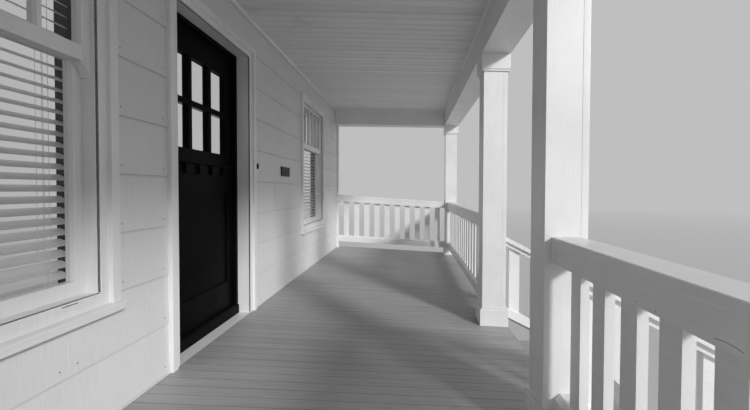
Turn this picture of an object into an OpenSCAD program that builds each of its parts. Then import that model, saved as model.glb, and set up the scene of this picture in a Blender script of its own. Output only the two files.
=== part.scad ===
// Covered front porch against a plain piece of house wall.
// Front faces -Y. Inside porch(), y = 0 is the face of the wall and z = 0 is
// the top of the deck where it meets the wall. All sizes are millimetres.

/* [Porch] */
// Centre to centre of the two columns beside the steps
entry_bay = 1480; // [1300:10:2200]
// Centre to centre of each side bay
side_bay = 3543; // [2950:1:4300]
// Face of the wall to the columns' centre line
porch_depth = 2018; // [1700:1:2600]
// Ground to the top of the deck at the wall
deck_height = 754; // [620:1:950]
// Top of the deck at the wall to the ceiling
ceiling_height = 2400; // [2300:1:2900]

/* [House wall] */
// Thickness of the wall, shingles included
wall_thick = 175; // [150:1:260]
// How far the wall stands up above the roof
wall_above_roof = 90; // [40:1:400]
// How far the wall runs past the outer face of the corner collars
wall_past_collar = 0; // [0:1:200]
// Thickness of the foundation wall
foundation_thick = 200; // [150:1:300]
// Height of the floor timbers that carry the wall
floor_rim_height = 250; // [180:1:320]
// Width of each corner board
corner_board_width = 100; // [70:1:140]
// How far trim boards stand out from the wall
trim_proud = 20; // [12:1:30]

/* [Deck] */
// Run of the deck for one of fall, away from the wall
deck_run = 16; // [14:1:80]
// Thickness of the deck boards
deck_thick = 25; // [19:1:38]
// How far the deck's edge stands out past the plinths
deck_lip = 7; // [4:1:40]
// How far boards and treads stand out past the face below them
nosing = 25; // [15:1:35]
// Depth of the joists and rims
joist_depth = 185; // [140:1:235]
// Thickness of framing timber
timber = 38; // [32:1:50]
// Rows of joists between the wall and the front rim
joist_rows = 4; // [3:1:6]
// Width of each square pier
pier_width = 320; // [250:1:400]
// Setback of piers and skirts behind the rim
pier_setback = 20; // [10:1:60]
// Slot between two skirt boards
skirt_slot = 20; // [10:1:30]
// Width of a skirt board
skirt_board = 70; // [50:1:100]
// Thickness of the skirt panels
skirt_thick = 25; // [19:1:38]
// Gap between the ground and the skirt
skirt_gap = 40; // [20:1:80]

/* [Columns and beams] */
// Width of the square column shafts
column_width = 200; // [150:1:260]
// Thickness of the boards that box a column
column_board = 22; // [19:1:38]
// Joint line in from the edge of each column face
column_seam_in = 34; // [25:1:50]
// How far collars and plinths stand out from the shaft
collar_proud = 20; // [12:1:30]
// Height of a collar
collar_height = 145; // [100:1:200]
// Height of a plinth at the inner side
plinth_height = 140; // [100:1:200]
// Height of the stepped bead under a collar
collar_bead = 16; // [10:1:24]
// Height of the boxed beams
beam_height = 250; // [200:1:320]

/* [Railings] */
// Height of the top rail above the deck below it
rail_height = 932; // [860:1:1070]
// Width of the top rail
rail_width = 140; // [110:1:160]
// Thickness of the rail cap
rail_cap = 36; // [30:1:45]
// Width of the beam under the cap
sub_rail_width = 134; // [89:1:136]
// Depth of the beam under the cap
sub_rail = 79; // [60:1:110]
// Width of the bottom rail
bottom_rail_width = 89; // [70:1:120]
// Height of the bottom rail
bottom_rail_height = 106; // [80:1:120]
// Gap under the bottom rail
bottom_rail_gap = 114; // [60:1:140]
// Bevel along the top of the bottom rail
bottom_rail_bevel = 22; // [10:1:30]
// Face width of a baluster
baluster_width = 89; // [60:1:100]
// Thickness of a baluster
baluster_thick = 38; // [30:1:45]
// Widest gap between balusters
baluster_gap = 102; // [80:1:115]
// Thickness of the cleat that ties an end railing to the wall
cleat = 38; // [30:1:45]

/* [Steps] */
// Number of risers from the ground to the deck's edge
risers = 4; // [3:1:6]
// Going of one step
going = 305; // [260:1:340]
// Thickness of a tread
tread_thick = 32; // [25:1:45]
// Thickness of a riser board
riser_thick = 19; // [15:1:25]
// Thickness of a stringer
stringer_thick = 45; // [38:1:60]
// Stringer's edge above the line of the nosings
stringer_above = 62; // [40:1:90]
// Depth of a stringer, measured upright
stringer_depth = 330; // [280:1:380]
// How far treads and risers are let into the stringers
housing = 12; // [8:1:18]
// Stair rail's top above the line of the nosings
stair_rail_height = 743; // [700:1:900]
// Depth of the stair rail's upper member, measured upright
stair_rail_depth = 76; // [60:1:100]
// Depth of the stair rail's lower member, measured upright
stair_foot_depth = 77; // [60:1:100]
// Balusters in each stair railing
stair_balusters = 5; // [3:1:6]
// Width of the square newels
newel_width = 115; // [90:1:140]
// How far a newel stands above the rail that meets it
newel_above = 90; // [50:1:160]
// Thickness of a newel cap
newel_cap = 30; // [20:1:45]

/* [Roof] */
// Run of the roof for one of rise
roof_run = 4; // [3:0.5:6]
// Eaves' overhang past the beams
eaves = 150; // [120:1:180]
// Height of the fascia
fascia_height = 142; // [120:1:200]
// Thickness of fascia boards
fascia_thick = 25; // [19:1:30]
// Thickness of soffit and ceiling boards
lining = 12; // [9:1:19]
// Depth of rafters, measured upright
rafter_depth = 144; // [120:1:190]
// Rafter spacing
rafter_pitch = 600; // [400:10:610]
// Depth of ceiling joists
ceiling_joist = 89; // [70:1:140]
// Thickness of roof boards, measured upright
roof_boards_thick = 19; // [15:1:25]
// Thickness of the roof shingles, measured upright
shingle_thick = 9; // [6:1:15]
// How far the shingles run past the fascia
drip = 25; // [15:1:40]
// Size of the moulding round the ceiling
ceiling_mould = 22; // [15:1:35]

/* [Door] */
// Centre of the doorway, from the middle of the steps
door_x = 180; // [-150:5:250]
// Width between the white jambs
doorway_width = 960; // [900:1:1100]
// Height of the doorway above the deck
doorway_height = 2087; // [2060:1:2250]
// Thickness of jambs and frames
jamb_thick = 30; // [25:1:38]
// Width of the door
door_width = 914; // [813:1:914]
// Thickness of the door
door_thick = 44; // [40:1:50]
// Height of the door sill
sill_height = 76; // [50:1:100]
// Clearance round the door
door_gap = 5; // [5:0.5:8]
// How far the stops reach over the door's edge
stop_lap = 7; // [5:1:10]
// Thickness of the stops
stop_thick = 26; // [15:1:30]
// Width of the door's stiles
stile = 114; // [100:1:130]
// Depth of the panel below the stiles and rails
panel_depth = 12; // [6:1:16]
// Width of the door's glazing bars
door_bar = 38; // [25:1:45]
// Height of the bar between the two rows of lites
door_cross_bar = 39; // [30:1:60]
// Height of the lites' lower edge above the deck
lites_bottom = 1278; // [1200:1:1350]
// Height of the lites' upper edge above the deck
lites_top = 1881; // [1700:1:1950]
// Width of the panel
panel_width = 734; // [640:1:760]
// Height of the panel's lower edge above the deck
panel_bottom = 285; // [240:1:400]
// Height of the panel's upper edge above the deck
panel_top = 985; // [900:1:1050]
// Height of the dentil shelf's lower edge above the deck
dentil_bottom = 1115; // [1080:1:1150]
// Height of the dentil blocks
dentil_height = 64; // [40:1:80]
// Width of the dentil blocks
dentil_width = 80; // [60:1:90]
// Centre to centre of the dentil blocks
dentil_pitch = 160; // [120:1:170]
// How far the dentil blocks stand out
dentil_proud = 16; // [8:1:18]
// Width of the ledge over the dentil blocks
shelf_width = 830; // [730:1:850]
// Height of that ledge
shelf_height = 12; // [8:1:24]
// Height of the knob above the deck
handle_z = 950; // [900:5:1000]
// Height of the lock cylinder above the deck
bolt_z = 1060; // [1050:5:1090]
// Radius of the hinge knuckles
knuckle_r = 7; // [6:0.5:9]
// Radius of the hinge pins
hinge_pin_r = 4; // [3:0.5:5]
// Running clearance of a hinge pin
hinge_fit = 0.1; // [0.05:0.05:0.1]
// Height of a hinge
hinge_height = 100; // [80:5:120]

/* [Windows] */
// Centre of the window left of the door
near_window_x = -1341; // [-1450:1:-1300]
// Centre of the window right of the door
far_window_x = 2695; // [2200:1:2900]
// Width between the windows' jambs
window_width = 992; // [800:1:1010]
// Head of the windows above the deck
window_head = 2087; // [1950:1:2150]
// Underside of the windows' sills above the deck
window_sill_bottom = 474; // [400:1:700]
// Height of a sill's front edge
window_sill_height = 38; // [30:1:50]
// How far a sill stands out from the wall
window_sill_proud = 38; // [30:1:60]
// Width of the inner band of the casings
casing_inner = 43; // [30:1:60]
// Width of the outer band of the casings
casing_outer = 45; // [35:1:70]
// How far the inner band stands out from the wall
casing_inner_proud = 3; // [2:1:10]
// Depth of the reveal in front of the upper sash
window_reveal = 26; // [20:1:40]
// Thickness of each sash
sash_thick = 38; // [30:1:42]
// Clearance between a sash and its frame
sash_fit = 0.3; // [0.2:0.1:0.8]
// Height of the frame's lower member, which the sash rests on
sash_seat = 56; // [30:1:70]
// Width of sash stiles
sash_stile = 45; // [35:1:60]
// Height of the top rail of the upper sash
sash_top_rail = 32; // [28:1:60]
// Height of the meeting rails
meeting_rail = 61; // [40:1:70]
// Underside of the meeting rails above the deck
meeting_bottom = 1535; // [1400:1:1600]
// Height of the bottom rail of the lower sash
sash_bottom_rail = 60; // [50:1:100]
// Bars in each upper sash
sash_bars = 4; // [2:1:6]
// Width of the bars in the upper sash
sash_bar = 18; // [14:1:25]
// Drop of the horns under the upper sash
horn_drop = 62; // [40:1:80]
// Spacing of the blind's slats
slat_pitch = 45; // [38:1:50]
// Width of the blind's slats
slat_width = 50; // [45:1:50]
// Thickness of the blind's slats
slat_thick = 3; // [2:0.5:4]
// Tilt of the blind's slats
slat_tilt = 12; // [0:1:40]

/* [Fittings] */
// Left edge of the plaque, from the middle of the steps
plaque_x = 1400; // [1250:5:1500]
// Lower edge of the plaque above the deck
plaque_bottom = 1150; // [1000:5:1400]
// Width of the plaque
plaque_width = 250; // [150:5:300]
// Height of the plaque
plaque_height = 97; // [70:1:150]
// Thickness of the plaque
plaque_thick = 10; // [5:1:20]
// Centre of the bell push, from the middle of the steps
bell_x = 800; // [780:1:900]
// Centre of the bell push above the deck
bell_z = 1210; // [1000:5:1400]
// Width of the bell push
bell_width = 26; // [20:1:40]
// Height of the bell push
bell_height = 46; // [40:1:90]

/* [Hidden] */

$fn = 48;
// Overlap that lets a cut run cleanly through a face
cut = 1;

// Column grid
collar_width = column_width + 2 * collar_proud;
inner_x = entry_bay / 2;
corner_x = inner_x + side_bay;
column_xs = [-corner_x, -inner_x, inner_x, corner_x];
half_width = corner_x + collar_width / 2;
front_y = -(porch_depth + collar_width / 2);
wall_half = half_width + wall_past_collar;

// Deck: its top falls away from the wall
deck_edge_y = front_y - deck_lip;
deck_half = half_width + deck_lip;
rim_y = deck_edge_y + nosing;
rim_half = deck_half - nosing;
function deck_z(y) = y / deck_run;
function under_deck(y) = deck_z(y) - deck_thick;
function under_joists(y) = under_deck(y) - joist_depth;

// Steps: rise, riser faces and nosings, counted down from the deck
rise = (deck_height + deck_z(deck_edge_y)) / risers;
function riser_y(k) = rim_y - going * k;
function tread_z(k) = deck_z(deck_edge_y) - rise * k;
step_slope = rise / going;
function nosing_line(y) = deck_z(deck_edge_y) + (y - deck_edge_y) * step_slope;
newel_back_y = riser_y(risers - 1) - nosing;
newel_y = newel_back_y - newel_width / 2;
newel_cap_proud = 18;

// Roof planes, measured from the outer face of the fascia
fascia_y = front_y - eaves;
fascia_half = half_width + eaves;
fascia_top = ceiling_height - lining + fascia_height;
roof_slope = 1 / roof_run;
function roof_z(y) = fascia_top + (y - fascia_y) * roof_slope;
// Seating gap under the shingles, which lie on felt
felt_gap = 0.2;
roof_skin = roof_boards_thick + felt_gap + shingle_thick;
roof_top = roof_z(0) + roof_skin;
wall_top = roof_top + wall_above_roof;

// Doorway: jambs, stops and door are worked out from the doorway and the door
stop_frame = (doorway_width - door_width) / 2 - door_gap;
door_y = wall_thick - door_thick;
door_bottom = sill_height + door_gap;
door_top = doorway_height - stop_frame - door_gap;
hinge_x = door_x + door_width / 2 + door_gap / 2;
hinge_y = wall_thick + knuckle_r;

// Windows
window_bottom = window_sill_bottom + window_sill_height;
upper_sash_y = window_reveal;
lower_sash_y = window_reveal + sash_thick + 2;
blind_y = lower_sash_y + sash_thick + 8;
window_xs = [near_window_x, far_window_x];

// The row's frame: origin at the middle of the footprint, on the ground
front_reach = max(-(newel_y - newel_width / 2 - newel_cap_proud), -(fascia_y - drip));
handle_reach = 62;
back_reach = max(foundation_thick, wall_thick + handle_reach);
mid_y = (front_reach - back_reach) / 2;
module porch() translate([0, mid_y, deck_height]) children();

// Extrudes a profile drawn in (y, z) along x, centred on x = 0
module along_x(length) rotate([90, 0, 90]) linear_extrude(length, center = true) children();
// Extrudes a profile drawn in (x, z) along y, from y0 to y1
module along_y(y0, y1) translate([0, y1, 0]) rotate([90, 0, 0]) linear_extrude(y1 - y0) children();
// A box given by its lowest and highest corners
module block(low, high) translate(low) cube(high - low);
// The same thing at each side of the middle
module both_sides() {
    children();
    mirror([1, 0, 0]) children();
}

// Ground to the floor timbers, under the whole wall
module foundation() {
    color("silver") porch()
        block([-wall_half, 0, -deck_height], [wall_half, foundation_thick, -floor_rim_height]);
}

module floor_rim() {
    color("lightgray") porch()
        block([-wall_half, 0, -floor_rim_height], [wall_half, wall_thick, 0]);
}

// Hole that takes the frame of the window at x
module window_hole(x) {
    reach = window_width / 2 + jamb_thick;
    block([x - reach, -cut, window_sill_bottom],
        [x + reach, wall_thick + cut, window_head + jamb_thick]);
}

module wall_left() {
    color("gainsboro") porch() difference() {
        block([-wall_half, 0, 0], [door_x - doorway_width / 2 - jamb_thick, wall_thick, wall_top]);
        window_hole(near_window_x);
    }
}

module wall_right() {
    color("gainsboro") porch() difference() {
        block([door_x + doorway_width / 2 + jamb_thick, 0, 0], [wall_half, wall_thick, wall_top]);
        window_hole(far_window_x);
    }
}

module wall_over_door() {
    reach = doorway_width / 2 + jamb_thick;
    color("gainsboro") porch()
        block([door_x - reach, 0, doorway_height + jamb_thick],
            [door_x + reach, wall_thick, wall_top]);
}

// Boards at the house corners, from the deck to the beams and on above the roof
module corner_boards() {
    color("white") porch() both_sides() difference() {
        block([wall_half - corner_board_width, -trim_proud, 0], [wall_half, 0, wall_top]);
        translate([0, cut, 0]) hip_solid(roof_skin, drip);
    }
}

// White jambs and head, as deep as the wall
module door_frame() {
    inner = doorway_width / 2;
    outer = inner + jamb_thick;
    color("white") porch() translate([door_x, 0, 0])
        along_y(0, wall_thick) difference() {
            polygon([[-outer, 0], [outer, 0], [outer, doorway_height + jamb_thick],
                [-outer, doorway_height + jamb_thick]]);
            polygon([[-inner, -cut], [inner, -cut], [inner, doorway_height],
                [-inner, doorway_height]]);
        }
}

// Three-sided ring in (x, z) inside the jambs, open by half at each side and up to head
module stop_ring(half, head) {
    outer = doorway_width / 2;
    difference() {
        translate([-outer, sill_height]) square([2 * outer, doorway_height - sill_height]);
        translate([-half, sill_height - cut]) square([2 * half, head - sill_height + cut]);
    }
}

// Dark rebated frame that the door shuts against
module door_stops() {
    beside = doorway_width / 2 - stop_frame;
    stop_y = door_y - door_gap;
    color("dimgray") porch() translate([door_x, 0, 0]) difference() {
        union() {
            along_y(stop_y - stop_thick, stop_y)
                stop_ring(door_width / 2 - stop_lap, door_top - stop_lap);
            along_y(stop_y, wall_thick)
                stop_ring(beside, door_top + door_gap);
        }
        // pockets for the frame's hinge leaves
        for (z = hinge_zs)
            block([beside - cut, wall_thick - leaf_depth, z - hinge_height / 2],
                [beside + leaf_thick, wall_thick + cut, z + hinge_height / 2]);
    }
}

// Sill with a sloping nose in front of the stops
module door_sill() {
    sill_front = door_y - door_gap - stop_thick - 8;
    color("dimgray") porch() translate([door_x, 0, 0])
        along_x(doorway_width)
            polygon([[sill_front, 0], [wall_thick, 0], [wall_thick, sill_height],
                [sill_front + 14, sill_height], [sill_front, sill_height - 10]]);
}

// Band in (x, z) round an opening that starts at foot, standing on low
module casing_ring(width, low, foot, head, reach) {
    difference() {
        translate([-width / 2 - reach, low])
            square([width + 2 * reach, head + reach - low]);
        translate([-width / 2, foot]) square([width, head - foot]);
    }
}

// Stepped casing: a thin inner band and a proud outer one on three sides
module casing(width, low, foot, head) {
    inner = width + 2 * casing_inner;
    along_y(-casing_inner_proud, 0) casing_ring(width, low, foot, head, casing_inner);
    along_y(-trim_proud, 0)
        casing_ring(inner, low, low - cut, head + casing_inner, casing_outer);
}

module door_casing() {
    color("white") porch() translate([door_x, 0, 0])
        casing(doorway_width, 0, -cut, doorway_height);
}

// Door: stiles, rails and bars round six lites, with one flat panel below
lites_width = door_width - 2 * stile;
lite_width = (lites_width - 2 * door_bar) / 3;
lite_height = (lites_top - lites_bottom - door_cross_bar) / 2;
module each_lite() {
    for (column = [0:2], row = [0:1])
        translate([-lites_width / 2 + column * (lite_width + door_bar),
            lites_bottom + row * (lite_height + door_cross_bar)])
            children();
}

module door_slab() {
    color([0.1, 0.1, 0.1]) porch() translate([door_x, 0, 0]) difference() {
        block([-door_width / 2, door_y, door_bottom], [door_width / 2, wall_thick, door_top]);
        along_y(door_y - cut, wall_thick + cut) each_lite() square([lite_width, lite_height]);
        for (face = [[door_y - cut, door_y + panel_depth], [wall_thick - panel_depth, wall_thick + cut]])
            along_y(face[0], face[1])
                translate([-panel_width / 2, panel_bottom])
                    square([panel_width, panel_top - panel_bottom]);
        // pockets for the door leaves of the hinges
        for (z = hinge_zs)
            translate([door_width / 2 - leaf_thick, wall_thick - leaf_depth, z - hinge_height / 2])
                cube([leaf_thick + cut, leaf_depth + cut, hinge_height]);
    }
}

door_glass_thick = 6;
module door_glass() {
    color([0.6, 0.7, 0.75, 0.5]) porch() translate([door_x, 0, 0])
        along_y(door_y + (door_thick - door_glass_thick) / 2,
            door_y + (door_thick + door_glass_thick) / 2)
            each_lite() square([lite_width, lite_height]);
}

// Dentil shelf: a row of blocks under a small moulded ledge
dentils = 5;
shelf_proud = dentil_proud + 12;
module door_shelf() {
    color([0.12, 0.12, 0.12]) porch() translate([door_x, 0, 0]) {
        for (i = [0 : dentils - 1])
            translate([(i - (dentils - 1) / 2) * dentil_pitch, 0, 0])
                block([-dentil_width / 2, door_y - dentil_proud, dentil_bottom],
                    [dentil_width / 2, door_y, dentil_bottom + dentil_height]);
        along_x(shelf_width)
            polygon([[door_y, dentil_bottom + dentil_height],
                [door_y - dentil_proud, dentil_bottom + dentil_height],
                [door_y - shelf_proud, dentil_bottom + dentil_height + shelf_height / 2],
                [door_y - shelf_proud, dentil_bottom + dentil_height + shelf_height],
                [door_y, dentil_bottom + dentil_height + shelf_height]]);
    }
}

// Knob on each face, on a round rose, with a bolt cylinder above
module handle_face() {
    translate([0, 0, handle_z]) rotate([90, 0, 0]) rotate_extrude()
        polygon([[0, 0], [32, 0], [32, 4], [28, 8], [12, 9], [10, 26], [18, 32], [26, 40],
            [28, 48], [25, 56], [16, handle_reach - 1], [0, handle_reach]]);
    translate([0, 0, bolt_z]) rotate([90, 0, 0]) rotate_extrude()
        polygon([[0, 0], [27, 0], [27, 8], [23, 12], [0, 12]]);
}

module door_handles() {
    handle_x = door_x - door_width / 2 + stile / 2;
    color("dimgray") porch() translate([handle_x, 0, 0]) {
        translate([0, door_y, 0]) handle_face();
        translate([0, wall_thick, 0]) mirror([0, 1, 0]) handle_face();
    }
}

// Three butt hinges. Each has three knuckles on one pin.
leaf_thick = 3;
leaf_depth = 34;
hinge_zs = [door_bottom + 190, (door_bottom + door_top) / 2, door_top - 190];
knuckle_gap = 0.5;
knuckle_height = hinge_height / 3;

// Door's part of a hinge: one leaf and the middle knuckle, with the pin's bore
module hinge_leaves_door() {
    color("goldenrod") porch() for (z = hinge_zs) translate([hinge_x, hinge_y, z]) difference() {
        union() {
            cylinder(h = knuckle_height - 2 * knuckle_gap, r = knuckle_r, center = true);
            block([-door_gap / 2 - leaf_thick, -knuckle_r - leaf_depth, -hinge_height / 2],
                [-door_gap / 2, -knuckle_r, hinge_height / 2]);
            block([-door_gap / 2 - leaf_thick, -knuckle_r, knuckle_gap - knuckle_height / 2],
                [-door_gap / 2, 0, knuckle_height / 2 - knuckle_gap]);
        }
        cylinder(h = hinge_height, r = hinge_pin_r + hinge_fit, center = true);
    }
}

// Frame's part: the other leaf, the outer knuckles and the pin with its two tips
module hinge_leaves_frame() {
    color("darkgoldenrod") porch() for (z = hinge_zs) translate([hinge_x, hinge_y, z]) {
        cylinder(h = hinge_height + 12, r = hinge_pin_r, center = true);
        block([door_gap / 2, -knuckle_r - leaf_depth, -hinge_height / 2],
            [door_gap / 2 + leaf_thick, -knuckle_r, hinge_height / 2]);
        for (side = [-1, 1]) {
            translate([0, 0, side * knuckle_height])
                cylinder(h = knuckle_height - knuckle_gap * 2, r = knuckle_r, center = true);
            translate([door_gap / 2, -knuckle_r, side * knuckle_height])
                block([0, 0, knuckle_gap - knuckle_height / 2],
                    [leaf_thick, knuckle_r, knuckle_height / 2 - knuckle_gap]);
        }
    }
}

module window_casings() {
    color("white") porch() for (x = window_xs) translate([x, 0, 0])
        casing(window_width, window_bottom, window_bottom + sash_seat, window_head);
}

// Sill under the casing, sloped on top, running back under the frame
module window_sills() {
    reach = window_width / 2 + casing_inner + casing_outer;
    inner = window_width / 2 + jamb_thick;
    color("white") porch() for (x = window_xs) translate([x, 0, 0]) {
        along_x(2 * reach)
            polygon([[-window_sill_proud, window_sill_bottom], [0, window_sill_bottom],
                [0, window_bottom], [-trim_proud, window_bottom],
                [-window_sill_proud, window_bottom - 4]]);
        block([-inner, 0, window_sill_bottom], [inner, wall_thick, window_bottom]);
    }
}

// Box frame with a step that the upper sash runs behind
module window_frames() {
    inner = window_width / 2;
    outer = inner + jamb_thick;
    color("white") porch() for (x = window_xs) translate([x, 0, 0])
        along_y(0, wall_thick) difference() {
            translate([-outer, window_bottom])
                square([2 * outer, window_head + jamb_thick - window_bottom]);
            translate([-inner, window_bottom + sash_seat])
                square([2 * inner, window_head - window_bottom - sash_seat]);
        }
}

sash_half = window_width / 2 - sash_fit;
upper_low = meeting_bottom;
upper_high = window_head - sash_fit;
lower_low = window_bottom + sash_seat;
lower_high = meeting_bottom + meeting_rail;
glass_half = sash_half - sash_stile;

// Outline of one sash in (x, z) with its lites cut out
module sash_outline(low, high, bottom_rail, top_rail, bars) {
    lite = (2 * glass_half - bars * sash_bar) / (bars + 1);
    difference() {
        translate([-sash_half, low]) square([2 * sash_half, high - low]);
        for (i = [0 : bars])
            translate([-glass_half + i * (lite + sash_bar), low + bottom_rail])
                square([lite, high - low - bottom_rail - top_rail]);
    }
}

// Curved horn that ends each stile of the upper sash, in (x, z)
module sash_horn() {
    difference() {
        translate([-sash_half, upper_low - horn_drop]) square([sash_stile, horn_drop + cut]);
        translate([-sash_half + sash_stile, upper_low - horn_drop])
            scale([1, 1.4]) circle(r = sash_stile * 0.72);
    }
}

module window_sashes() {
    color("white") porch() for (x = window_xs) translate([x, 0, 0]) {
        along_y(upper_sash_y, upper_sash_y + sash_thick)
            sash_outline(upper_low, upper_high, meeting_rail, sash_top_rail, sash_bars);
        along_y(upper_sash_y, upper_sash_y + sash_thick) both_horns();
        along_y(lower_sash_y, lower_sash_y + sash_thick)
            sash_outline(lower_low, lower_high, sash_bottom_rail, meeting_rail, 0);
    }
}

module both_horns() {
    sash_horn();
    mirror([1, 0]) sash_horn();
}

pane_thick = 4;
module window_glass() {
    color([0.6, 0.7, 0.75, 0.5]) porch() for (x = window_xs) translate([x, 0, 0]) {
        along_y(upper_sash_y + (sash_thick - pane_thick) / 2,
            upper_sash_y + (sash_thick + pane_thick) / 2)
            upper_panes();
        along_y(lower_sash_y + (sash_thick - pane_thick) / 2,
            lower_sash_y + (sash_thick + pane_thick) / 2)
            translate([-glass_half, lower_low + sash_bottom_rail])
                square([2 * glass_half, lower_high - lower_low - sash_bottom_rail - meeting_rail]);
    }
}

module upper_panes() {
    lite = (2 * glass_half - sash_bars * sash_bar) / (sash_bars + 1);
    for (i = [0 : sash_bars])
        translate([-glass_half + i * (lite + sash_bar), upper_low + meeting_rail])
            square([lite, upper_high - upper_low - meeting_rail - sash_top_rail]);
}

// Slatted blind inside each window: head rail, tilted slats and ladder tapes
head_rail = 40;
tape_width = 3;
blind_clear = 6;
module window_blinds() {
    half = window_width / 2 - blind_clear;
    top = window_head;
    low = window_bottom + sash_seat + blind_clear;
    count = floor((top - head_rail - low) / slat_pitch);
    mid = blind_y + slat_width / 2;
    color("whitesmoke") porch() for (x = window_xs) translate([x, 0, 0]) {
        block([-half, blind_y, top - head_rail], [half, blind_y + slat_width, top]);
        for (i = [1 : count])
            translate([0, mid, top - head_rail - i * slat_pitch])
                rotate([-slat_tilt, 0, 0])
                    cube([2 * half, slat_width, slat_thick], center = true);
        for (side = [-1, 1])
            block([side * half * 0.62 - tape_width / 2, mid - 1, top - head_rail - count * slat_pitch],
                [side * half * 0.62 + tape_width / 2, mid + 1, top - head_rail + cut]);
    }
}

// Bare plaque and bell push beside the door
module wall_plaque() {
    color("dimgray") porch()
        block([plaque_x, -plaque_thick, plaque_bottom],
            [plaque_x + plaque_width, 0, plaque_bottom + plaque_height]);
}

module doorbell() {
    body_proud = 12;
    color("dimgray") porch() translate([bell_x, 0, bell_z]) {
        block([-bell_width / 2, -body_proud, -bell_height / 2], [bell_width / 2, 0, bell_height / 2]);
        translate([0, -body_proud, 0]) rotate([90, 0, 0]) cylinder(h = 4, d = bell_width * 0.6);
    }
}

// Everything under the sloping underside of the deck's frame
module under_frame() {
    far_y = 2 * deck_edge_y;
    along_x(4 * deck_half)
        polygon([[far_y, under_joists(far_y)], [0, under_joists(0)], [0, -deck_height],
            [far_y, -deck_height]]);
}

// Piers stand under the corners and beside the steps
pier_y = rim_y + pier_setback + pier_width / 2;
pier_xs = [-(rim_half - pier_setback - pier_width / 2), -inner_x, inner_x,
    rim_half - pier_setback - pier_width / 2];
module piers() {
    color("silver") porch() intersection() {
        for (x = pier_xs)
            block([x - pier_width / 2, pier_y - pier_width / 2, -deck_height],
                [x + pier_width / 2, pier_y + pier_width / 2, 0]);
        under_frame();
    }
}

// Panel of upright boards in (a, z): its top runs from high0 at a = 0 to high1 at the end
module skirt_outline(length, low, high0, high1) {
    rail = 60;
    pitch = skirt_board + skirt_slot;
    slots = floor((length - skirt_board) / pitch);
    margin = (length - slots * pitch + skirt_board) / 2;
    difference() {
        polygon([[0, low], [length, low], [length, high1], [0, high0]]);
        intersection() {
            for (i = [0 : slots - 1])
                translate([margin + i * pitch, low]) square([skirt_slot, -low]);
            polygon([[0, low + rail], [length, low + rail], [length, high1 - rail],
                [0, high0 - rail]]);
        }
    }
}

module skirts() {
    low = -deck_height + skirt_gap;
    front = rim_y + pier_setback;
    back = front + skirt_thick;
    bay = pier_xs[3] - pier_xs[2] - pier_width;
    side_from = pier_y + pier_width / 2;
    color("white") porch() both_sides() {
        translate([inner_x + pier_width / 2, 0, 0])
            along_y(front, back)
                skirt_outline(bay, low, under_joists(front), under_joists(front));
        translate([rim_half - pier_setback - skirt_thick / 2, side_from, 0])
            along_x(skirt_thick)
                skirt_outline(-side_from, low, under_joists(side_from), under_joists(0));
    }
}

// Piece of deck framing in (y, z), cut to the fall of the deck
module joist_profile(y0, y1) {
    polygon([[y0, under_joists(y0)], [y1, under_joists(y1)], [y1, under_deck(y1)],
        [y0, under_deck(y0)]]);
}

// Front faces of the joists, from the rim to the ledger on the wall
joist_step = (-timber - rim_y) / joist_rows;
function joist_y(i) = rim_y + i * joist_step;

// Rim, joists and ledger along the house
module deck_joists() {
    color("burlywood") porch()
        for (i = [0 : joist_rows])
            along_x(2 * rim_half) joist_profile(joist_y(i), joist_y(i) + timber);
}

// Short cross timbers between the joists, over the piers and at the ends
module deck_girders() {
    color("burlywood") porch()
        for (x = [-rim_half + timber / 2, -inner_x, inner_x, rim_half - timber / 2])
            for (i = [0 : joist_rows - 1])
                translate([x, 0, 0]) along_x(timber)
                    joist_profile(joist_y(i) + timber, joist_y(i + 1));
}

module deck_boards() {
    color("gray") porch() along_x(2 * deck_half)
        polygon([[deck_edge_y, under_deck(deck_edge_y)], [0, under_deck(0)], [0, deck_z(0)],
            [deck_edge_y, deck_z(deck_edge_y)]]);
}

// Everything below the sloping top of the deck, to trim what stands on it
module below_deck() {
    along_x(4 * deck_half)
        polygon([[2 * deck_edge_y, deck_z(2 * deck_edge_y)], [0, 0], [0, -deck_height],
            [2 * deck_edge_y, -deck_height]]);
}

beam_z = ceiling_height - beam_height;
plinth_top = deck_z(-porch_depth + collar_width / 2) + plinth_height;
collar_z = beam_z - collar_height;

// Square ring of boards in plan, with a joint line on each face as in a pinwheel
module boxed_plan() {
    groove = 3;
    difference() {
        square(column_width, center = true);
        square(column_width - 2 * column_board, center = true);
        for (turn = [0 : 90 : 270])
            rotate(turn)
                translate([column_width / 2 - column_seam_in, -column_width / 2])
                    rotate(45) square(groove, center = true);
    }
}

module column_shafts() {
    color("white") porch() difference() {
        for (x = column_xs)
            translate([x, -porch_depth, deck_z(front_y)])
                linear_extrude(beam_z - deck_z(front_y)) boxed_plan();
        below_deck();
    }
}

module collar_plan(proud) {
    difference() {
        square(column_width + 2 * proud, center = true);
        square(column_width, center = true);
    }
}

module column_plinths() {
    cap = 12;
    color("white") porch() difference() {
        for (x = column_xs) translate([x, -porch_depth, 0]) {
            translate([0, 0, deck_z(front_y)])
                linear_extrude(plinth_top - cap - deck_z(front_y)) collar_plan(collar_proud);
            translate([0, 0, plinth_top - cap])
                linear_extrude(cap) collar_plan(collar_proud - 5);
        }
        below_deck();
    }
}

module column_collars() {
    color("white") porch() for (x = column_xs) translate([x, -porch_depth, 0]) {
        translate([0, 0, collar_z + collar_bead])
            linear_extrude(collar_height - collar_bead) collar_plan(collar_proud);
        translate([0, 0, collar_z])
            linear_extrude(collar_bead) collar_plan(collar_proud - 7);
    }
}

module front_beam() {
    color("white") porch()
        block([-half_width, front_y, beam_z],
            [half_width, front_y + collar_width, ceiling_height]);
}

module end_beams() {
    color("white") porch() both_sides()
        block([corner_x - collar_width / 2, front_y + collar_width, beam_z],
            [half_width, 0, ceiling_height]);
}

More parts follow.
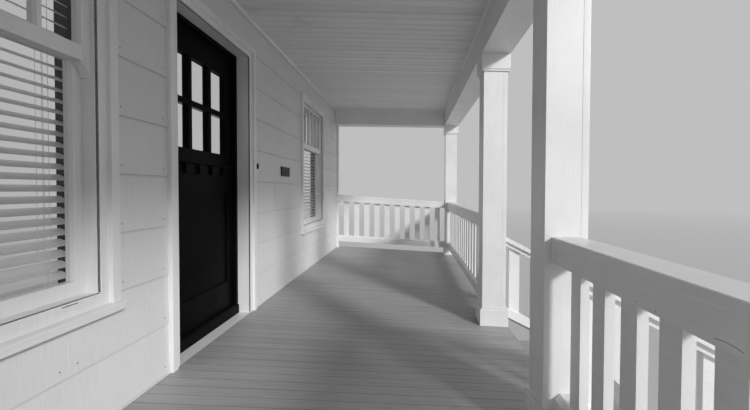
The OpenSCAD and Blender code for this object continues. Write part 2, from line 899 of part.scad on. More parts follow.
// The ceiling rests on the inner part of the beams' tops
ceiling_bearing = 70;
module ceiling() {
    half = corner_x - collar_width / 2 + ceiling_bearing;
    color("ivory") porch()
        block([-half, front_y + collar_width - ceiling_bearing, ceiling_height],
            [half, 0, ceiling_height + lining]);
}

// Quarter round in the corner under the ceiling, drawn in (y, z) at y = 0
module mould_profile() {
    intersection() {
        translate([-ceiling_mould, ceiling_height - ceiling_mould]) square(ceiling_mould);
        translate([0, ceiling_height]) circle(r = ceiling_mould);
    }
}

module ceiling_moulding() {
    inner_half = corner_x - collar_width / 2;
    inner_y = front_y + collar_width;
    color("white") porch() {
        along_x(2 * inner_half) mould_profile();
        translate([0, inner_y, 0]) mirror([0, 1, 0]) along_x(2 * inner_half) mould_profile();
        both_sides() translate([inner_half, inner_y / 2, 0]) rotate(-90)
            along_x(-inner_y) mould_profile();
    }
}

// Space between balusters, with end_share of a space left at each end
function spacing(span, count, end_share) =
    (span - count * baluster_width) / (count - 1 + 2 * end_share);
function fitted(span) = ceil((span - baluster_gap) / (baluster_width + baluster_gap));

// Balusters in (a, z) from a = 0 to a = span, standing from low to high
module baluster_outline(span, count, end_share, low, high) {
    gap = spacing(span, count, end_share);
    for (i = [0 : count - 1])
        translate([end_share * gap + i * (baluster_width + gap), low])
            square([baluster_width, high - low]);
}

// Section of the top rail, (across, up), with its top at 0: an eased cap on a deep beam
module top_rail_section() {
    ease = 5;
    half = rail_width / 2;
    beam = sub_rail_width / 2;
    polygon([[-half, -rail_cap], [-beam, -rail_cap], [-beam, -rail_cap - sub_rail],
        [beam, -rail_cap - sub_rail], [beam, -rail_cap], [half, -rail_cap], [half, -ease],
        [half - ease, 0], [-half + ease, 0], [-half, -ease]]);
}

// Section of the bottom rail with its top at 0 and bevelled upper edges
module bottom_rail_section() {
    half = bottom_rail_width / 2;
    flat = baluster_thick / 2 + 2;
    polygon([[-half, -bottom_rail_height], [half, -bottom_rail_height],
        [half, -bottom_rail_bevel], [flat, 0], [-flat, 0], [-half, -bottom_rail_bevel]]);
}

// Level railing along x between the faces of two columns
module level_railing(x0, x1, floor_z) {
    span = x1 - x0;
    foot = floor_z + bottom_rail_gap + bottom_rail_height;
    top = floor_z + rail_height;
    translate([(x0 + x1) / 2, -porch_depth, top]) along_x(span) top_rail_section();
    translate([(x0 + x1) / 2, -porch_depth, foot]) along_x(span) bottom_rail_section();
    translate([x0, -porch_depth, 0])
        along_y(-baluster_thick / 2, baluster_thick / 2)
            baluster_outline(span, fitted(span), 1, foot - cut, top - rail_cap - sub_rail + cut);
}

// Room that the plinths take up, to notch the rails that meet them
module plinth_room() {
    foot = deck_z(front_y);
    for (x = column_xs)
        translate([x, -porch_depth, (plinth_top + foot) / 2])
            cube([collar_width, collar_width, plinth_top - foot], center = true);
}

module front_railings() {
    color("white") porch() difference() {
        both_sides()
            level_railing(inner_x + column_width / 2, corner_x - column_width / 2,
                deck_z(-porch_depth));
        plinth_room();
    }
}

// Band in (y, z) from y1 to the wall, between two heights above the sloping deck
module slope_band(y1, low, high) {
    polygon([[y1, low + deck_z(y1)], [0, low], [0, high], [y1, high + deck_z(y1)]]);
}

// End railing: it follows the fall of the deck from the wall to the corner column
module end_railings() {
    inner = -porch_depth + column_width / 2;
    count = fitted(-inner - cleat);
    foot = bottom_rail_gap + bottom_rail_height;
    under = rail_height - rail_cap - sub_rail;
    color("white") porch() both_sides() difference() {
        translate([corner_x, 0, 0]) {
            along_x(rail_width) slope_band(inner, rail_height - rail_cap, rail_height);
            along_x(sub_rail_width) slope_band(inner, under, rail_height - rail_cap);
            sloped_bottom_rail(inner, foot);
            intersection() {
                translate([0, inner, 0]) along_x(baluster_thick)
                    baluster_outline(-inner - cleat, count, 1, deck_z(inner), rail_height);
                along_x(2 * baluster_thick) slope_band(inner, foot - cut, under + cut);
            }
            // cleat on the wall, from the deck to the top rail
            intersection() {
                block([-baluster_width / 2, -cleat, deck_z(inner)],
                    [baluster_width / 2, 0, rail_height]);
                along_x(2 * baluster_width) slope_band(inner, 0, under + cut);
            }
        }
        plinth_room();
        // notched round the corner board
        block([wall_half - corner_board_width, -trim_proud, 0],
            [wall_half, cut, 2 * rail_height]);
    }
}

// Bottom rail of an end railing, with its upper edges bevelled along the slope
module sloped_bottom_rail(y1, top) {
    half = bottom_rail_width / 2;
    flat = baluster_thick / 2 + 2;
    pitch = bottom_rail_bevel / (half - flat);
    difference() {
        along_x(bottom_rail_width) slope_band(y1, top - bottom_rail_height, top);
        both_sides() translate([0, 0, top]) rotate([atan(1 / deck_run), 0, 0])
            along_y(2 * y1, -y1)
                polygon([[flat - cut, pitch * cut], [half + cut, -bottom_rail_bevel - pitch * cut],
                    [half + cut, bottom_rail_bevel], [flat - cut, bottom_rail_bevel]]);
    }
}

// Closed stringers, notched round the deck's edge and housed for the steps
stringer_x = inner_x;
function stringer_top(y) = nosing_line(y) + stringer_above;
module stringer_outline() {
    foot_y = front_y - (stringer_top(front_y) - stringer_depth + deck_height) / step_slope;
    polygon([[front_y, stringer_top(front_y)], [front_y, deck_z(front_y)],
        [deck_edge_y, deck_z(deck_edge_y)], [deck_edge_y, under_deck(deck_edge_y)],
        [rim_y, under_deck(rim_y)], [rim_y, stringer_top(rim_y) - stringer_depth],
        [foot_y, -deck_height], [newel_back_y, -deck_height],
        [newel_back_y, stringer_top(newel_back_y)]]);
}

// Boards in (y, z): treads reach back to the riser above, risers down to the tread below
module step_boards(length) {
    for (k = [1 : risers - 1])
        along_x(length)
            polygon([[riser_y(k) - nosing, tread_z(k)], [riser_y(k - 1), tread_z(k)],
                [riser_y(k - 1), tread_z(k) - tread_thick],
                [riser_y(k) - nosing, tread_z(k) - tread_thick]]);
}

module riser_boards(length) {
    for (k = [1 : risers - 1]) {
        top = tread_z(k) - tread_thick;
        foot = max(tread_z(k + 1) - tread_thick, -deck_height);
        along_x(length)
            polygon([[riser_y(k), top], [riser_y(k) + riser_thick, top],
                [riser_y(k) + riser_thick, foot], [riser_y(k), foot]]);
    }
}

step_length = 2 * stringer_x - stringer_thick + 2 * housing;
module stair_stringers() {
    color("gray") porch() difference() {
        both_sides() translate([stringer_x, 0, 0]) along_x(stringer_thick) stringer_outline();
        step_boards(step_length);
        riser_boards(step_length);
    }
}

module stair_risers() {
    color("whitesmoke") porch() difference() {
        riser_boards(step_length);
        step_boards(step_length);
    }
}

module stair_treads() {
    color("gray") porch() step_boards(step_length);
}

// Stair railing: two members parallel to the steps, five balusters between
module stair_rail_member(top_offset, depth, y0) {
    polygon([[y0, nosing_line(y0) + top_offset], [newel_back_y, nosing_line(newel_back_y) + top_offset],
        [newel_back_y, nosing_line(newel_back_y) + top_offset - depth],
        [y0, nosing_line(y0) + top_offset - depth]]);
}

module stair_railings() {
    post_y = -porch_depth - column_width / 2;
    foot_top = stringer_above + stair_foot_depth;
    span = post_y - newel_back_y;
    color("white") porch() both_sides() translate([inner_x, 0, 0]) {
        along_x(rail_width) stair_rail_member(stair_rail_height, rail_cap, post_y);
        along_x(bottom_rail_width)
            stair_rail_member(stair_rail_height - rail_cap, stair_rail_depth - rail_cap, post_y);
        along_x(bottom_rail_width)
            stair_rail_member(foot_top, stair_foot_depth, front_y);
        along_x(baluster_thick) intersection() {
            translate([newel_back_y, 0])
                baluster_outline(span, stair_balusters, 0.5, -deck_height, rail_height);
            stair_rail_member(stair_rail_height - stair_rail_depth + cut,
                stair_rail_height - stair_rail_depth - foot_top + 2 * cut, post_y);
        }
    }
}

// Newels at the foot of the steps, with flat pyramids on top
module newels() {
    top = nosing_line(newel_back_y) + stair_rail_height + newel_above;
    cap_half = newel_width / 2 + newel_cap_proud;
    color("white") porch() both_sides() translate([inner_x, newel_y, 0]) {
        block([-newel_width / 2, -newel_width / 2, -deck_height],
            [newel_width / 2, newel_width / 2, top + cut]);
        intersection() {
            cap_section(cap_half, top);
            rotate(90) cap_section(cap_half, top);
        }
    }
}

module cap_section(half, z) {
    edge = z + newel_cap / 2;
    along_x(2 * half)
        polygon([[-half, z], [half, z], [half, edge], [0, edge + newel_cap], [-half, edge]]);
}

// Solid under the hipped roof planes, raised by lift, out to reach past the fascia
module hip_solid(lift, reach) {
    low = ceiling_height - beam_height;
    eave = fascia_top - reach * roof_slope + lift;
    half = fascia_half + reach;
    peak = eave + half * roof_slope;
    intersection() {
        along_x(2 * half)
            polygon([[fascia_y - reach, low], [0, low], [0, roof_z(0) + lift],
                [fascia_y - reach, eave]]);
        along_y(fascia_y - reach, 0)
            polygon([[-half, low], [half, low], [half, eave], [0, peak], [-half, eave]]);
    }
}

module roof_boards() {
    color("tan") porch() difference() {
        hip_solid(roof_boards_thick, drip / 2);
        translate([0, 0, -roof_boards_thick]) hip_solid(roof_boards_thick, drip);
    }
}

module roof_shingles() {
    color("dimgray") porch() difference() {
        hip_solid(roof_skin, drip);
        translate([0, 0, -shingle_thick]) hip_solid(roof_skin, 2 * drip);
    }
}

module fascia() {
    low = ceiling_height - lining;
    color("white") porch() difference() {
        block([-fascia_half, fascia_y, low], [fascia_half, 0, fascia_top]);
        block([-fascia_half + fascia_thick, fascia_y + fascia_thick, low - cut],
            [fascia_half - fascia_thick, cut, fascia_top + cut]);
    }
}

module soffit() {
    low = ceiling_height - lining;
    inner = fascia_half - fascia_thick;
    color("white") porch() difference() {
        block([-inner, fascia_y + fascia_thick, low], [inner, 0, ceiling_height]);
        block([-half_width, front_y, low - cut], [half_width, cut, ceiling_height + cut]);
    }
}

// Rafter in (run, z), with run counted in from the face of the fascia: it seats on the
// beam and its top follows the roof
rafter_seat = 160;
module rafter_profile() {
    seat = eaves + rafter_seat;
    far = -fascia_y;
    polygon([[fascia_thick, ceiling_height], [seat, ceiling_height],
        [seat, fascia_top + seat * roof_slope - rafter_depth],
        [far, fascia_top + far * roof_slope - rafter_depth],
        [far, fascia_top + far * roof_slope],
        [fascia_thick, fascia_top + fascia_thick * roof_slope]]);
}

// Plan of the hipped end at +x
module end_region() {
    low = ceiling_height - lining;
    translate([0, 0, low]) linear_extrude(roof_top - low)
        polygon([[fascia_half, fascia_y], [fascia_half, 0], [fascia_half + fascia_y, 0]]);
}

module roof_frame() {
    joist_z = ceiling_height + lining;
    bearing_x = corner_x;
    fronts = floor((fascia_half - fascia_thick) / rafter_pitch);
    joists = floor((bearing_x - 2 * timber) / rafter_pitch);
    sides = floor((-fascia_y - timber) / rafter_pitch);
    ridge_half = fascia_half + fascia_y;
    color("burlywood") porch() {
        // front rafters, cut short at the hips
        difference() {
            for (i = [-fronts : fronts])
                translate([i * rafter_pitch, fascia_y, 0]) along_x(timber) rafter_profile();
            both_sides() end_region();
        }
        both_sides() {
            // jack rafters of the hipped end
            intersection() {
                for (i = [0 : sides])
                    translate([fascia_half, -timber / 2 - i * rafter_pitch, 0])
                        rotate(90) along_x(timber) rafter_profile();
                end_region();
            }
            // hip rafter: the same profile drawn out along the diagonal
            intersection() {
                translate([fascia_half, fascia_y, 0]) rotate(45)
                    along_x(timber) scale([sqrt(2), 1]) rafter_profile();
                hip_solid(0, -fascia_thick);
            }
        }
        // ledger at the ridge
        intersection() {
            block([-ridge_half - timber, -timber, roof_z(0) - rafter_depth - timber],
                [ridge_half + timber, 0, roof_z(0)]);
            hip_solid(0, 0);
        }
        // ceiling joists and their ledger
        for (i = [-joists : joists])
            translate([i * rafter_pitch + timber, 0, 0])
                block([-timber / 2, front_y + collar_width - ceiling_bearing, joist_z],
                    [timber / 2, 0, joist_z + ceiling_joist]);
        block([-bearing_x, -timber, joist_z], [bearing_x, 0, joist_z + ceiling_joist]);
    }
}

foundation();
floor_rim();
wall_left();
wall_right();
wall_over_door();
corner_boards();
door_frame();
door_stops();
door_sill();
door_casing();
door_slab();
door_glass();
door_shelf();
door_handles();
hinge_leaves_door();
hinge_leaves_frame();
window_casings();
window_sills();
window_frames();
window_sashes();
window_glass();
window_blinds();
wall_plaque();
doorbell();
piers();
skirts();
deck_joists();
deck_girders();
deck_boards();
column_shafts();
column_plinths();
column_collars();
front_beam();
end_beams();
ceiling();
ceiling_moulding();
front_railings();
end_railings();
stair_stringers();
stair_risers();
stair_treads();
stair_railings();
newels();
roof_frame();
roof_boards();
roof_shingles();
soffit();
fascia();
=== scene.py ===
# Covered front porch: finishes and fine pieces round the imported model.
import math
import bpy
from mathutils import Matrix, Vector


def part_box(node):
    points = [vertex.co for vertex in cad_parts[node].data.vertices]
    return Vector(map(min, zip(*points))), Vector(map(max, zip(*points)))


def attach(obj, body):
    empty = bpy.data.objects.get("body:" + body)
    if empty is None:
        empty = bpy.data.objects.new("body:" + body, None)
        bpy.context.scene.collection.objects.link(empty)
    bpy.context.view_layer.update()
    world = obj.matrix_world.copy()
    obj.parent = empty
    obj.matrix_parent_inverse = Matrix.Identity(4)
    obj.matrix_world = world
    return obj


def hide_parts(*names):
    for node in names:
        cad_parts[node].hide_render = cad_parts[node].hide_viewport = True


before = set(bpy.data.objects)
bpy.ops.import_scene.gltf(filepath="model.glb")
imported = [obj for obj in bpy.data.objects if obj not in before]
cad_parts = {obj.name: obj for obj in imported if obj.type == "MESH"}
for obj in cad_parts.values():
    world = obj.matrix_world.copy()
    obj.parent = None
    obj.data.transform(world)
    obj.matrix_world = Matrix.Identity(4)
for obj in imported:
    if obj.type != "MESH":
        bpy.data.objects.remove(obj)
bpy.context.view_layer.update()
mm = 0.001
near = 0.1 * mm                           # places closer than this count as the same
weldWithin = 0.01 * mm
flatAngle = math.radians(0.1)             # triangles this close to flat are one face
smoothAngle = math.radians(32)
edgeAngle = math.radians(40)              # corners sharper than this are eased


# Places read from the frame

def solidsAlong(node, axis=0):
    # boxes of a node's solids that lie clear of each other along one axis
    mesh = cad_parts[node].data
    corners = [[mesh.vertices[i].co for i in face.vertices] for face in mesh.polygons]
    corners.sort(key=lambda c: min(p[axis] for p in c))
    solids = []
    for face in corners:
        low, high = Vector(map(min, zip(*face))), Vector(map(max, zip(*face)))
        if solids and low[axis] <= solids[-1][1][axis] + near:
            low = Vector(map(min, zip(low, solids[-1][0])))
            high = Vector(map(max, zip(high, solids.pop()[1])))
        solids.append((low, high))
    return solids


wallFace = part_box("wall_left")[0].y
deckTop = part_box("wall_left")[0].z        # top of the deck where it meets the wall
deckFall = 1 / 16


# Camera, at the photograph's viewing angle

view = {
    "place": (-2.517, 0.157, 1.765),      # m, in the porch at eye height
    "turn": -92.56,                       # degrees about Z, looking along the porch
    "tilt": 88.73,                        # degrees up from straight down
    "roll": 0.3,
    "lens": 18.26,
    "shift": (-0.0713, -0.0081),
    "clipStart": 0.02,
}


def addCamera():
    turn = Matrix.Rotation(math.radians(view["turn"]), 4, "Z")
    tilt = Matrix.Rotation(math.radians(view["tilt"]), 4, "X")
    roll = Matrix.Rotation(math.radians(view["roll"]), 4, "Z")
    bpy.ops.object.camera_add()
    camera = bpy.context.object
    camera.matrix_world = Matrix.Translation(view["place"]) @ turn @ tilt @ roll
    camera.data.lens = view["lens"]
    camera.data.shift_x, camera.data.shift_y = view["shift"]
    camera.data.clip_start = view["clipStart"]
    bpy.context.scene.camera = camera


# Steps of modelling, as by hand

def objectMode():
    if bpy.context.object and bpy.context.object.mode != "OBJECT":
        bpy.ops.object.mode_set(mode="OBJECT")


def selectOnly(*pieces):
    objectMode()
    bpy.ops.object.select_all(action="DESELECT")
    for piece in pieces:
        piece.select_set(True)
    bpy.context.view_layer.objects.active = pieces[0]


def placeNew(name):
    bpy.ops.object.transform_apply(location=True, rotation=True, scale=True)
    bpy.context.object.name = name
    return bpy.context.object


def addBox(name, low, high):
    objectMode()
    bpy.ops.object.select_all(action="DESELECT")
    low, high = Vector(low), Vector(high)
    bpy.ops.mesh.primitive_cube_add(size=1, location=(low + high) / 2, scale=high - low)
    return placeNew(name)


def addRod(name, radius, start, end, sides=12):
    objectMode()
    bpy.ops.object.select_all(action="DESELECT")
    start, end = Vector(start), Vector(end)
    turn = (end - start).to_track_quat("Z", "Y").to_euler()
    bpy.ops.mesh.primitive_cylinder_add(vertices=sides, radius=radius, depth=(end - start).length,
                                        location=(start + end) / 2, rotation=turn)
    return placeNew(name)


def pick(piece, kind, wanted):
    # goes into edit mode with the points, edges or faces selected whose corners pass the test
    selectOnly(piece)
    bpy.ops.object.mode_set(mode="EDIT")
    bpy.ops.mesh.select_mode(type=kind)
    bpy.ops.mesh.select_all(action="DESELECT")
    bpy.ops.object.mode_set(mode="OBJECT")
    mesh = piece.data
    if kind == "VERT":
        for vertex in mesh.vertices:
            vertex.select = wanted([vertex.co])
    else:
        for item in mesh.edges if kind == "EDGE" else mesh.polygons:
            item.select = wanted([mesh.vertices[i].co for i in item.vertices])
    bpy.ops.object.mode_set(mode="EDIT")


def movePoints(piece, shift, wanted):
    pick(piece, "VERT", lambda c: wanted(c[0]))
    bpy.ops.transform.translate(value=shift)
    objectMode()


def easeEdges(piece, width, segments=2, wanted=lambda c: True):
    pick(piece, "EDGE", wanted)
    bpy.ops.mesh.bevel(offset=width, segments=segments, affect="EDGES", profile=0.5)
    objectMode()


def runsAlong(axis, more=lambda p: True):
    # test for edges that run along one axis and pass one more test
    others = [i for i in range(3) if i != axis]
    return lambda c: all(abs(c[0][i] - c[1][i]) < weldWithin for i in others) and more(c[0])


def turnPiece(piece, degrees, axis, centre):
    # with a centre of its own, rotate turns the other way
    pick(piece, "VERT", lambda c: True)
    bpy.ops.transform.rotate(value=math.radians(-degrees), orient_axis=axis, center_override=centre)
    objectMode()


def cutOff(piece, place, direction):
    # takes away what lies beyond a plane and closes each loop of the cut by itself
    pick(piece, "VERT", lambda c: True)
    bpy.ops.mesh.bisect(plane_co=place, plane_no=direction, clear_outer=True)
    bpy.ops.mesh.select_mode(type="EDGE")
    bpy.ops.mesh.select_all(action="DESELECT")
    bpy.ops.mesh.select_non_manifold(use_wire=False, use_multi_face=False, use_non_contiguous=False,
                                     use_verts=False)
    bpy.ops.mesh.fill_holes(sides=0)
    objectMode()


def applyModifier(piece, kind, **settings):
    selectOnly(piece)
    modifier = piece.modifiers.new(kind.lower(), kind)
    for key, value in settings.items():
        setattr(modifier, key, value)
    bpy.ops.object.modifier_apply(modifier=modifier.name)


def inRow(piece, count, step):
    applyModifier(piece, "ARRAY", count=count, use_relative_offset=False, use_constant_offset=True,
                  constant_offset_displace=step)


def cutOut(piece, low, high):
    cutter = addBox("cutter", low, high)
    applyModifier(piece, "BOOLEAN", object=cutter, operation="DIFFERENCE", solver="EXACT")
    bpy.data.objects.remove(cutter, do_unlink=True)


def copyOf(piece, shift=(0, 0, 0)):
    selectOnly(piece)
    bpy.ops.object.duplicate()
    bpy.context.object.location = shift
    bpy.ops.object.transform_apply(location=True, rotation=True, scale=True)
    return bpy.context.object


def join(name, pieces):
    selectOnly(*pieces)
    if len(pieces) > 1:
        bpy.ops.object.join()
    bpy.context.object.name = name
    return bpy.context.object


def copyAt(piece, places):
    # one copy at each place, joined, in the stead of the first
    copies = join(piece.name, [copyOf(piece, place) for place in places])
    bpy.data.objects.remove(piece, do_unlink=True)
    return copies


def meshFrom(name, node):
    # a piece that starts as a copy of a CAD node, its loose triangles merged into faces
    piece = bpy.data.objects.new(name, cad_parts[node].data.copy())
    bpy.context.scene.collection.objects.link(piece)
    piece.data.materials.clear()
    pick(piece, "VERT", lambda c: True)
    bpy.ops.mesh.remove_doubles(threshold=weldWithin)
    bpy.ops.mesh.dissolve_limited(angle_limit=flatAngle)
    objectMode()
    return piece


def paintPiece(piece, material):
    piece.data.materials.clear()
    piece.data.materials.append(material)
    return piece


def finishPiece(piece, slot, *nodes, body="porch"):
    # shading, body, and the CAD nodes that the piece stands for; the slot is not used
    selectOnly(piece)
    bpy.ops.object.shade_smooth_by_angle(angle=smoothAngle)
    applyModifier(piece, "WEIGHTED_NORMAL", mode="FACE_AREA", keep_sharp=True)
    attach(piece, body)
    if nodes:
        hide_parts(*nodes)
    return piece


# Materials

def toLinear(hexColour):
    channels = [int(hexColour[i:i + 2], 16) / 255 for i in (1, 3, 5)]
    return [c / 12.92 if c <= 0.04045 else ((c + 0.055) / 1.055) ** 2.4 for c in channels] + [1]


def addNode(tree, kind, settings=None, links=None):
    node = tree.nodes.new(kind)
    for key, value in (settings or {}).items():
        if isinstance(key, int) or key in node.inputs:
            node.inputs[key].default_value = value
        else:
            setattr(node, key, value)
    for key, source in (links or {}).items():
        tree.links.new(source, node.inputs[key])
    return node


def startMaterial(name, **settings):
    material = bpy.data.materials.new(name)
    material.use_nodes = True
    tree = material.node_tree
    tree.nodes.clear()
    shader = addNode(tree, "ShaderNodeBsdfPrincipled", settings)
    addNode(tree, "ShaderNodeOutputMaterial", None, {"Surface": shader.outputs["BSDF"]})
    place = addNode(tree, "ShaderNodeTexCoord").outputs["Object"]
    return material, tree, shader, place


def setInput(tree, socket, value):
    if isinstance(value, (int, float, list)):
        socket.default_value = value
    else:
        tree.links.new(value, socket)


def calc(tree, operation, *values):
    node = addNode(tree, "ShaderNodeMath", {"operation": operation})
    for index, value in enumerate(values):
        setInput(tree, node.inputs[index], value)
    return node.outputs[0]


def mixValues(tree, factor, first, second):
    return calc(tree, "MULTIPLY_ADD", calc(tree, "SUBTRACT", second, first), factor, first)


def mixColours(tree, factor, first, second, blend="MIX"):
    mix = addNode(tree, "ShaderNodeMix", {"data_type": "RGBA", "blend_type": blend})
    for socket, value in ((0, factor), (6, first), (7, second)):
        setInput(tree, mix.inputs[socket], value)
    return mix.outputs[2]


def shadeBetween(tree, factor, dark, light, low=0.3, high=0.7):
    ramp = addNode(tree, "ShaderNodeValToRGB", None, {"Fac": factor})
    for stop, position, colour in zip(ramp.color_ramp.elements, (low, high), (dark, light)):
        stop.position = position
        stop.color = toLinear(colour)
    return ramp.outputs["Color"]


def darken(tree, colour, factor, dark, low, high, amount=1.0):
    # lays a tone over a colour: dark where the factor is low, nothing where it is high
    tone = shadeBetween(tree, factor, dark, "#ffffff", low, high)
    return mixColours(tree, amount, colour, tone, "MULTIPLY")


def noiseAt(tree, place, size, stretch=(1, 1, 1), detail=3.0):
    # noise with grains of about that size in metres, drawn out along the axes with a small stretch
    scale = [share / size for share in stretch]
    spread = addNode(tree, "ShaderNodeMapping", {"Scale": scale}, {"Vector": place})
    noise = addNode(tree, "ShaderNodeTexNoise", {"Scale": 1.0, "Detail": detail},
                    {"Vector": spread.outputs[0]})
    return noise.outputs["Fac"]


def partOf(tree, place, axis):
    return addNode(tree, "ShaderNodeSeparateXYZ", None, {"Vector": place}).outputs[axis]


def randomOf(tree, number):
    # one random value for each whole number
    whole = calc(tree, "FLOOR", number)
    noise = addNode(tree, "ShaderNodeTexWhiteNoise", {"noise_dimensions": "1D"}, {"W": whole})
    return noise.outputs["Value"]


def showInstead(tree, surface):
    # another surface in the stead of the plain shader
    output = next(node for node in tree.nodes if node.type == "OUTPUT_MATERIAL")
    tree.links.new(surface, output.inputs["Surface"])


def raiseBump(tree, shader, height, depth):
    bump = addNode(tree, "ShaderNodeBump", {"Strength": 1.0, "Distance": depth}, {"Height": height})
    tree.links.new(bump.outputs["Normal"], shader.inputs["Normal"])


def grainAlong(axis):
    return [0.04 if i == axis else 1.0 for i in range(3)]


def paintedTimber(name, dark, light, axis, paintedShadeFrom=None):
    # exterior gloss on cedar: brush marks along the grain, thin grime in clouds, soft sheen;
    # painted shade: near black on what lies indoors, from a depth in the wall, for the unlit room
    material, tree, shader, place = startMaterial(name)
    marks = noiseAt(tree, place, 6 * mm, grainAlong(axis))
    grime = noiseAt(tree, place, 450 * mm, detail=6.0)
    colour = shadeBetween(tree, grime, dark, light, 0.25, 0.6)
    colour = darken(tree, colour, marks, "#fafafa", 0.35, 0.6)
    if paintedShadeFrom:
        # painted shade: the frame behind the sashes is drawn near black, as in an unlit room
        indoors = calc(tree, "GREATER_THAN", partOf(tree, place, 1), paintedShadeFrom)
        colour = mixColours(tree, indoors, colour, toLinear("#1a1a1a"))
    tree.links.new(colour, shader.inputs["Base Color"])
    tree.links.new(calc(tree, "MULTIPLY_ADD", grime, 0.2, 0.3), shader.inputs["Roughness"])
    raiseBump(tree, shader, marks, 0.03 * mm)
    return material


boardSizes = {
    "deckPitch": 83 * mm,
    "deckThickness": 25 * mm,
    "deckGap": 1.2 * mm,
    "deckEase": 0.6 * mm,
    "seamGrime": 0.4 * mm,                # on each side of a seam
    "nosing": 9 * mm,
    "ceilingPitch": 103 * mm,
    "bead": 12 * mm,
    "beadRound": 0.45,                    # of the bead's width
    "vee": 5.0 * mm,
}


def porchFloorEnamel(axis=1):
    # worn enamel on softwood boards: grain shows through, boards differ a little, wear dulls it in
    # patches, and dark grime packs the floor's seams
    material, tree, shader, place = startMaterial("porch_floor_enamel_" + "xyz"[axis])
    across = partOf(tree, place, 1 - axis)
    board = calc(tree, "DIVIDE", across, boardSizes["deckPitch"])
    grain = noiseAt(tree, place, 14 * mm, grainAlong(axis), 4.0)
    streaks = noiseAt(tree, place, 60 * mm, grainAlong(axis), 3.0)
    wear = noiseAt(tree, place, 600 * mm, detail=5.0)
    colour = shadeBetween(tree, wear, "#a6a6a6", "#b0b0b0", 0.35, 0.65)
    colour = darken(tree, colour, randomOf(tree, board), "#f1f1f1", 0.0, 1.0)
    colour = darken(tree, colour, streaks, "#f5f5f5", 0.3, 0.55)
    colour = darken(tree, colour, grain, "#f4f4f4", 0.32, 0.55)
    if axis == 1:
        seam, edge = boardSizes["deckGap"], boardSizes["seamGrime"]
        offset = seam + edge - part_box("deck_boards")[0].x
        along = calc(tree, "DIVIDE", calc(tree, "ADD", across, offset), boardSizes["deckPitch"])
        share = (seam + 2 * edge) / boardSizes["deckPitch"]
        packed = calc(tree, "LESS_THAN", calc(tree, "FRACT", along), share)
        colour = mixColours(tree, packed, colour, toLinear("#585858"))
    tree.links.new(colour, shader.inputs["Base Color"])
    tree.links.new(calc(tree, "MULTIPLY_ADD", wear, 0.3, 0.38), shader.inputs["Roughness"])
    raiseBump(tree, shader, grain, 0.15 * mm)
    return material


def ceilingSatin():
    # satin paint on beaded boards: slight changes from board to board, a few old water stains
    material, tree, shader, place = startMaterial("ceiling_satin", Roughness=0.5)
    marks = noiseAt(tree, place, 7 * mm, grainAlong(1))
    stains = noiseAt(tree, place, 300 * mm, (1.4, 0.8, 1), 2.0)
    board = calc(tree, "DIVIDE", partOf(tree, place, 0), boardSizes["ceilingPitch"])
    colour = shadeBetween(tree, stains, "#dadada", "#e8e8e8", 0.27, 0.38)
    colour = darken(tree, colour, randomOf(tree, board), "#f4f4f4", 0.0, 1.0)
    tree.links.new(colour, shader.inputs["Base Color"])
    raiseBump(tree, shader, marks, 0.05 * mm)
    return material


siding = {
    "seam": 2.147,                        # m above the deck, seam nearest the heads of the openings
    "exposure": 0.2667,                   # m of each course that shows
    "length": 1.2192,
    "topLength": 0.6096,                  # half shingles in the top course under the ceiling
    "thickness": 6.5 * mm,
    "depth": 12 * mm,                     # wall's face to the sheathing
    "joints": [0.559, 0.93, 1.676, 0.85, 1.98, 1.239, 1.036, 1.78, 0.9],   # m from the middle, by course
    "leftJoints": [-0.2, -1.1, -1.5, -0.95, -1.35, -1.05, -1.45, -1.0, -1.4],
    "gap": 2.2 * mm,
    "ease": 1.2 * mm,
    "nailIn": 38 * mm,
    "nailUp": 38 * mm,
    "nailSpacing": 0.42,
    "nailRadius": 3.2 * mm,
    "clearOfJoint": 20 * mm,              # a joint closer than this to a trim edge gets no nails
    "shortestRun": 50 * mm,
}


def shingleSidingPaint():
    # flat house paint on fibre-cement shingles: fine upright combing, courses that weathered apart,
    # painted shade on the top of each course, under the butt above
    material, tree, shader, place = startMaterial("fibre_cement_shingle_paint", Roughness=0.62)
    combing = noiseAt(tree, place, 5 * mm, grainAlong(2), 2.0)
    mottle = noiseAt(tree, place, 380 * mm, detail=5.0)
    up = calc(tree, "SUBTRACT", partOf(tree, place, 2), deckTop + siding["seam"])
    course = calc(tree, "DIVIDE", up, siding["exposure"])
    colour = shadeBetween(tree, mottle, "#dedede", "#e4e4e4", 0.3, 0.7)
    colour = darken(tree, colour, randomOf(tree, course), "#f4f4f4", 0.0, 1.0)
    # painted shade: the top of each course darkens just under the butt above
    shadeUnderButt = calc(tree, "SUBTRACT", 1.0, calc(tree, "FRACT", course))
    colour = darken(tree, colour, shadeUnderButt, "#cecece", 0.0, 0.05, 0.6)
    colour = darken(tree, colour, combing, "#f8f8f8", 0.3, 0.6)
    tree.links.new(colour, shader.inputs["Base Color"])
    raiseBump(tree, shader, combing, 0.05 * mm)
    return material


def nailRustAndShade():
    # painted-over nail heads: a bleed of rust in the paint, and painted shade of the hollow round each
    # head
    material, tree, shader, place = startMaterial("nail_head_rust_and_shade", Roughness=0.6)
    bleed = noiseAt(tree, place, 4 * mm)
    tree.links.new(shadeBetween(tree, bleed, "#5a5a5a", "#898989"), shader.inputs["Base Color"])
    return material


def doorEnamel():
    # black enamel on timber, semi-gloss: brush marks and a little dust
    material, tree, shader, place = startMaterial("black_door_enamel")
    shader.inputs["Specular IOR Level"].default_value = 0.02
    marks = noiseAt(tree, place, 5 * mm, grainAlong(2))
    dust = noiseAt(tree, place, 300 * mm, detail=5.0)
    tree.links.new(shadeBetween(tree, dust, "#090909", "#101010"), shader.inputs["Base Color"])
    tree.links.new(calc(tree, "MULTIPLY_ADD", dust, 0.2, 0.24), shader.inputs["Roughness"])
    raiseBump(tree, shader, marks, 0.06 * mm)
    return material


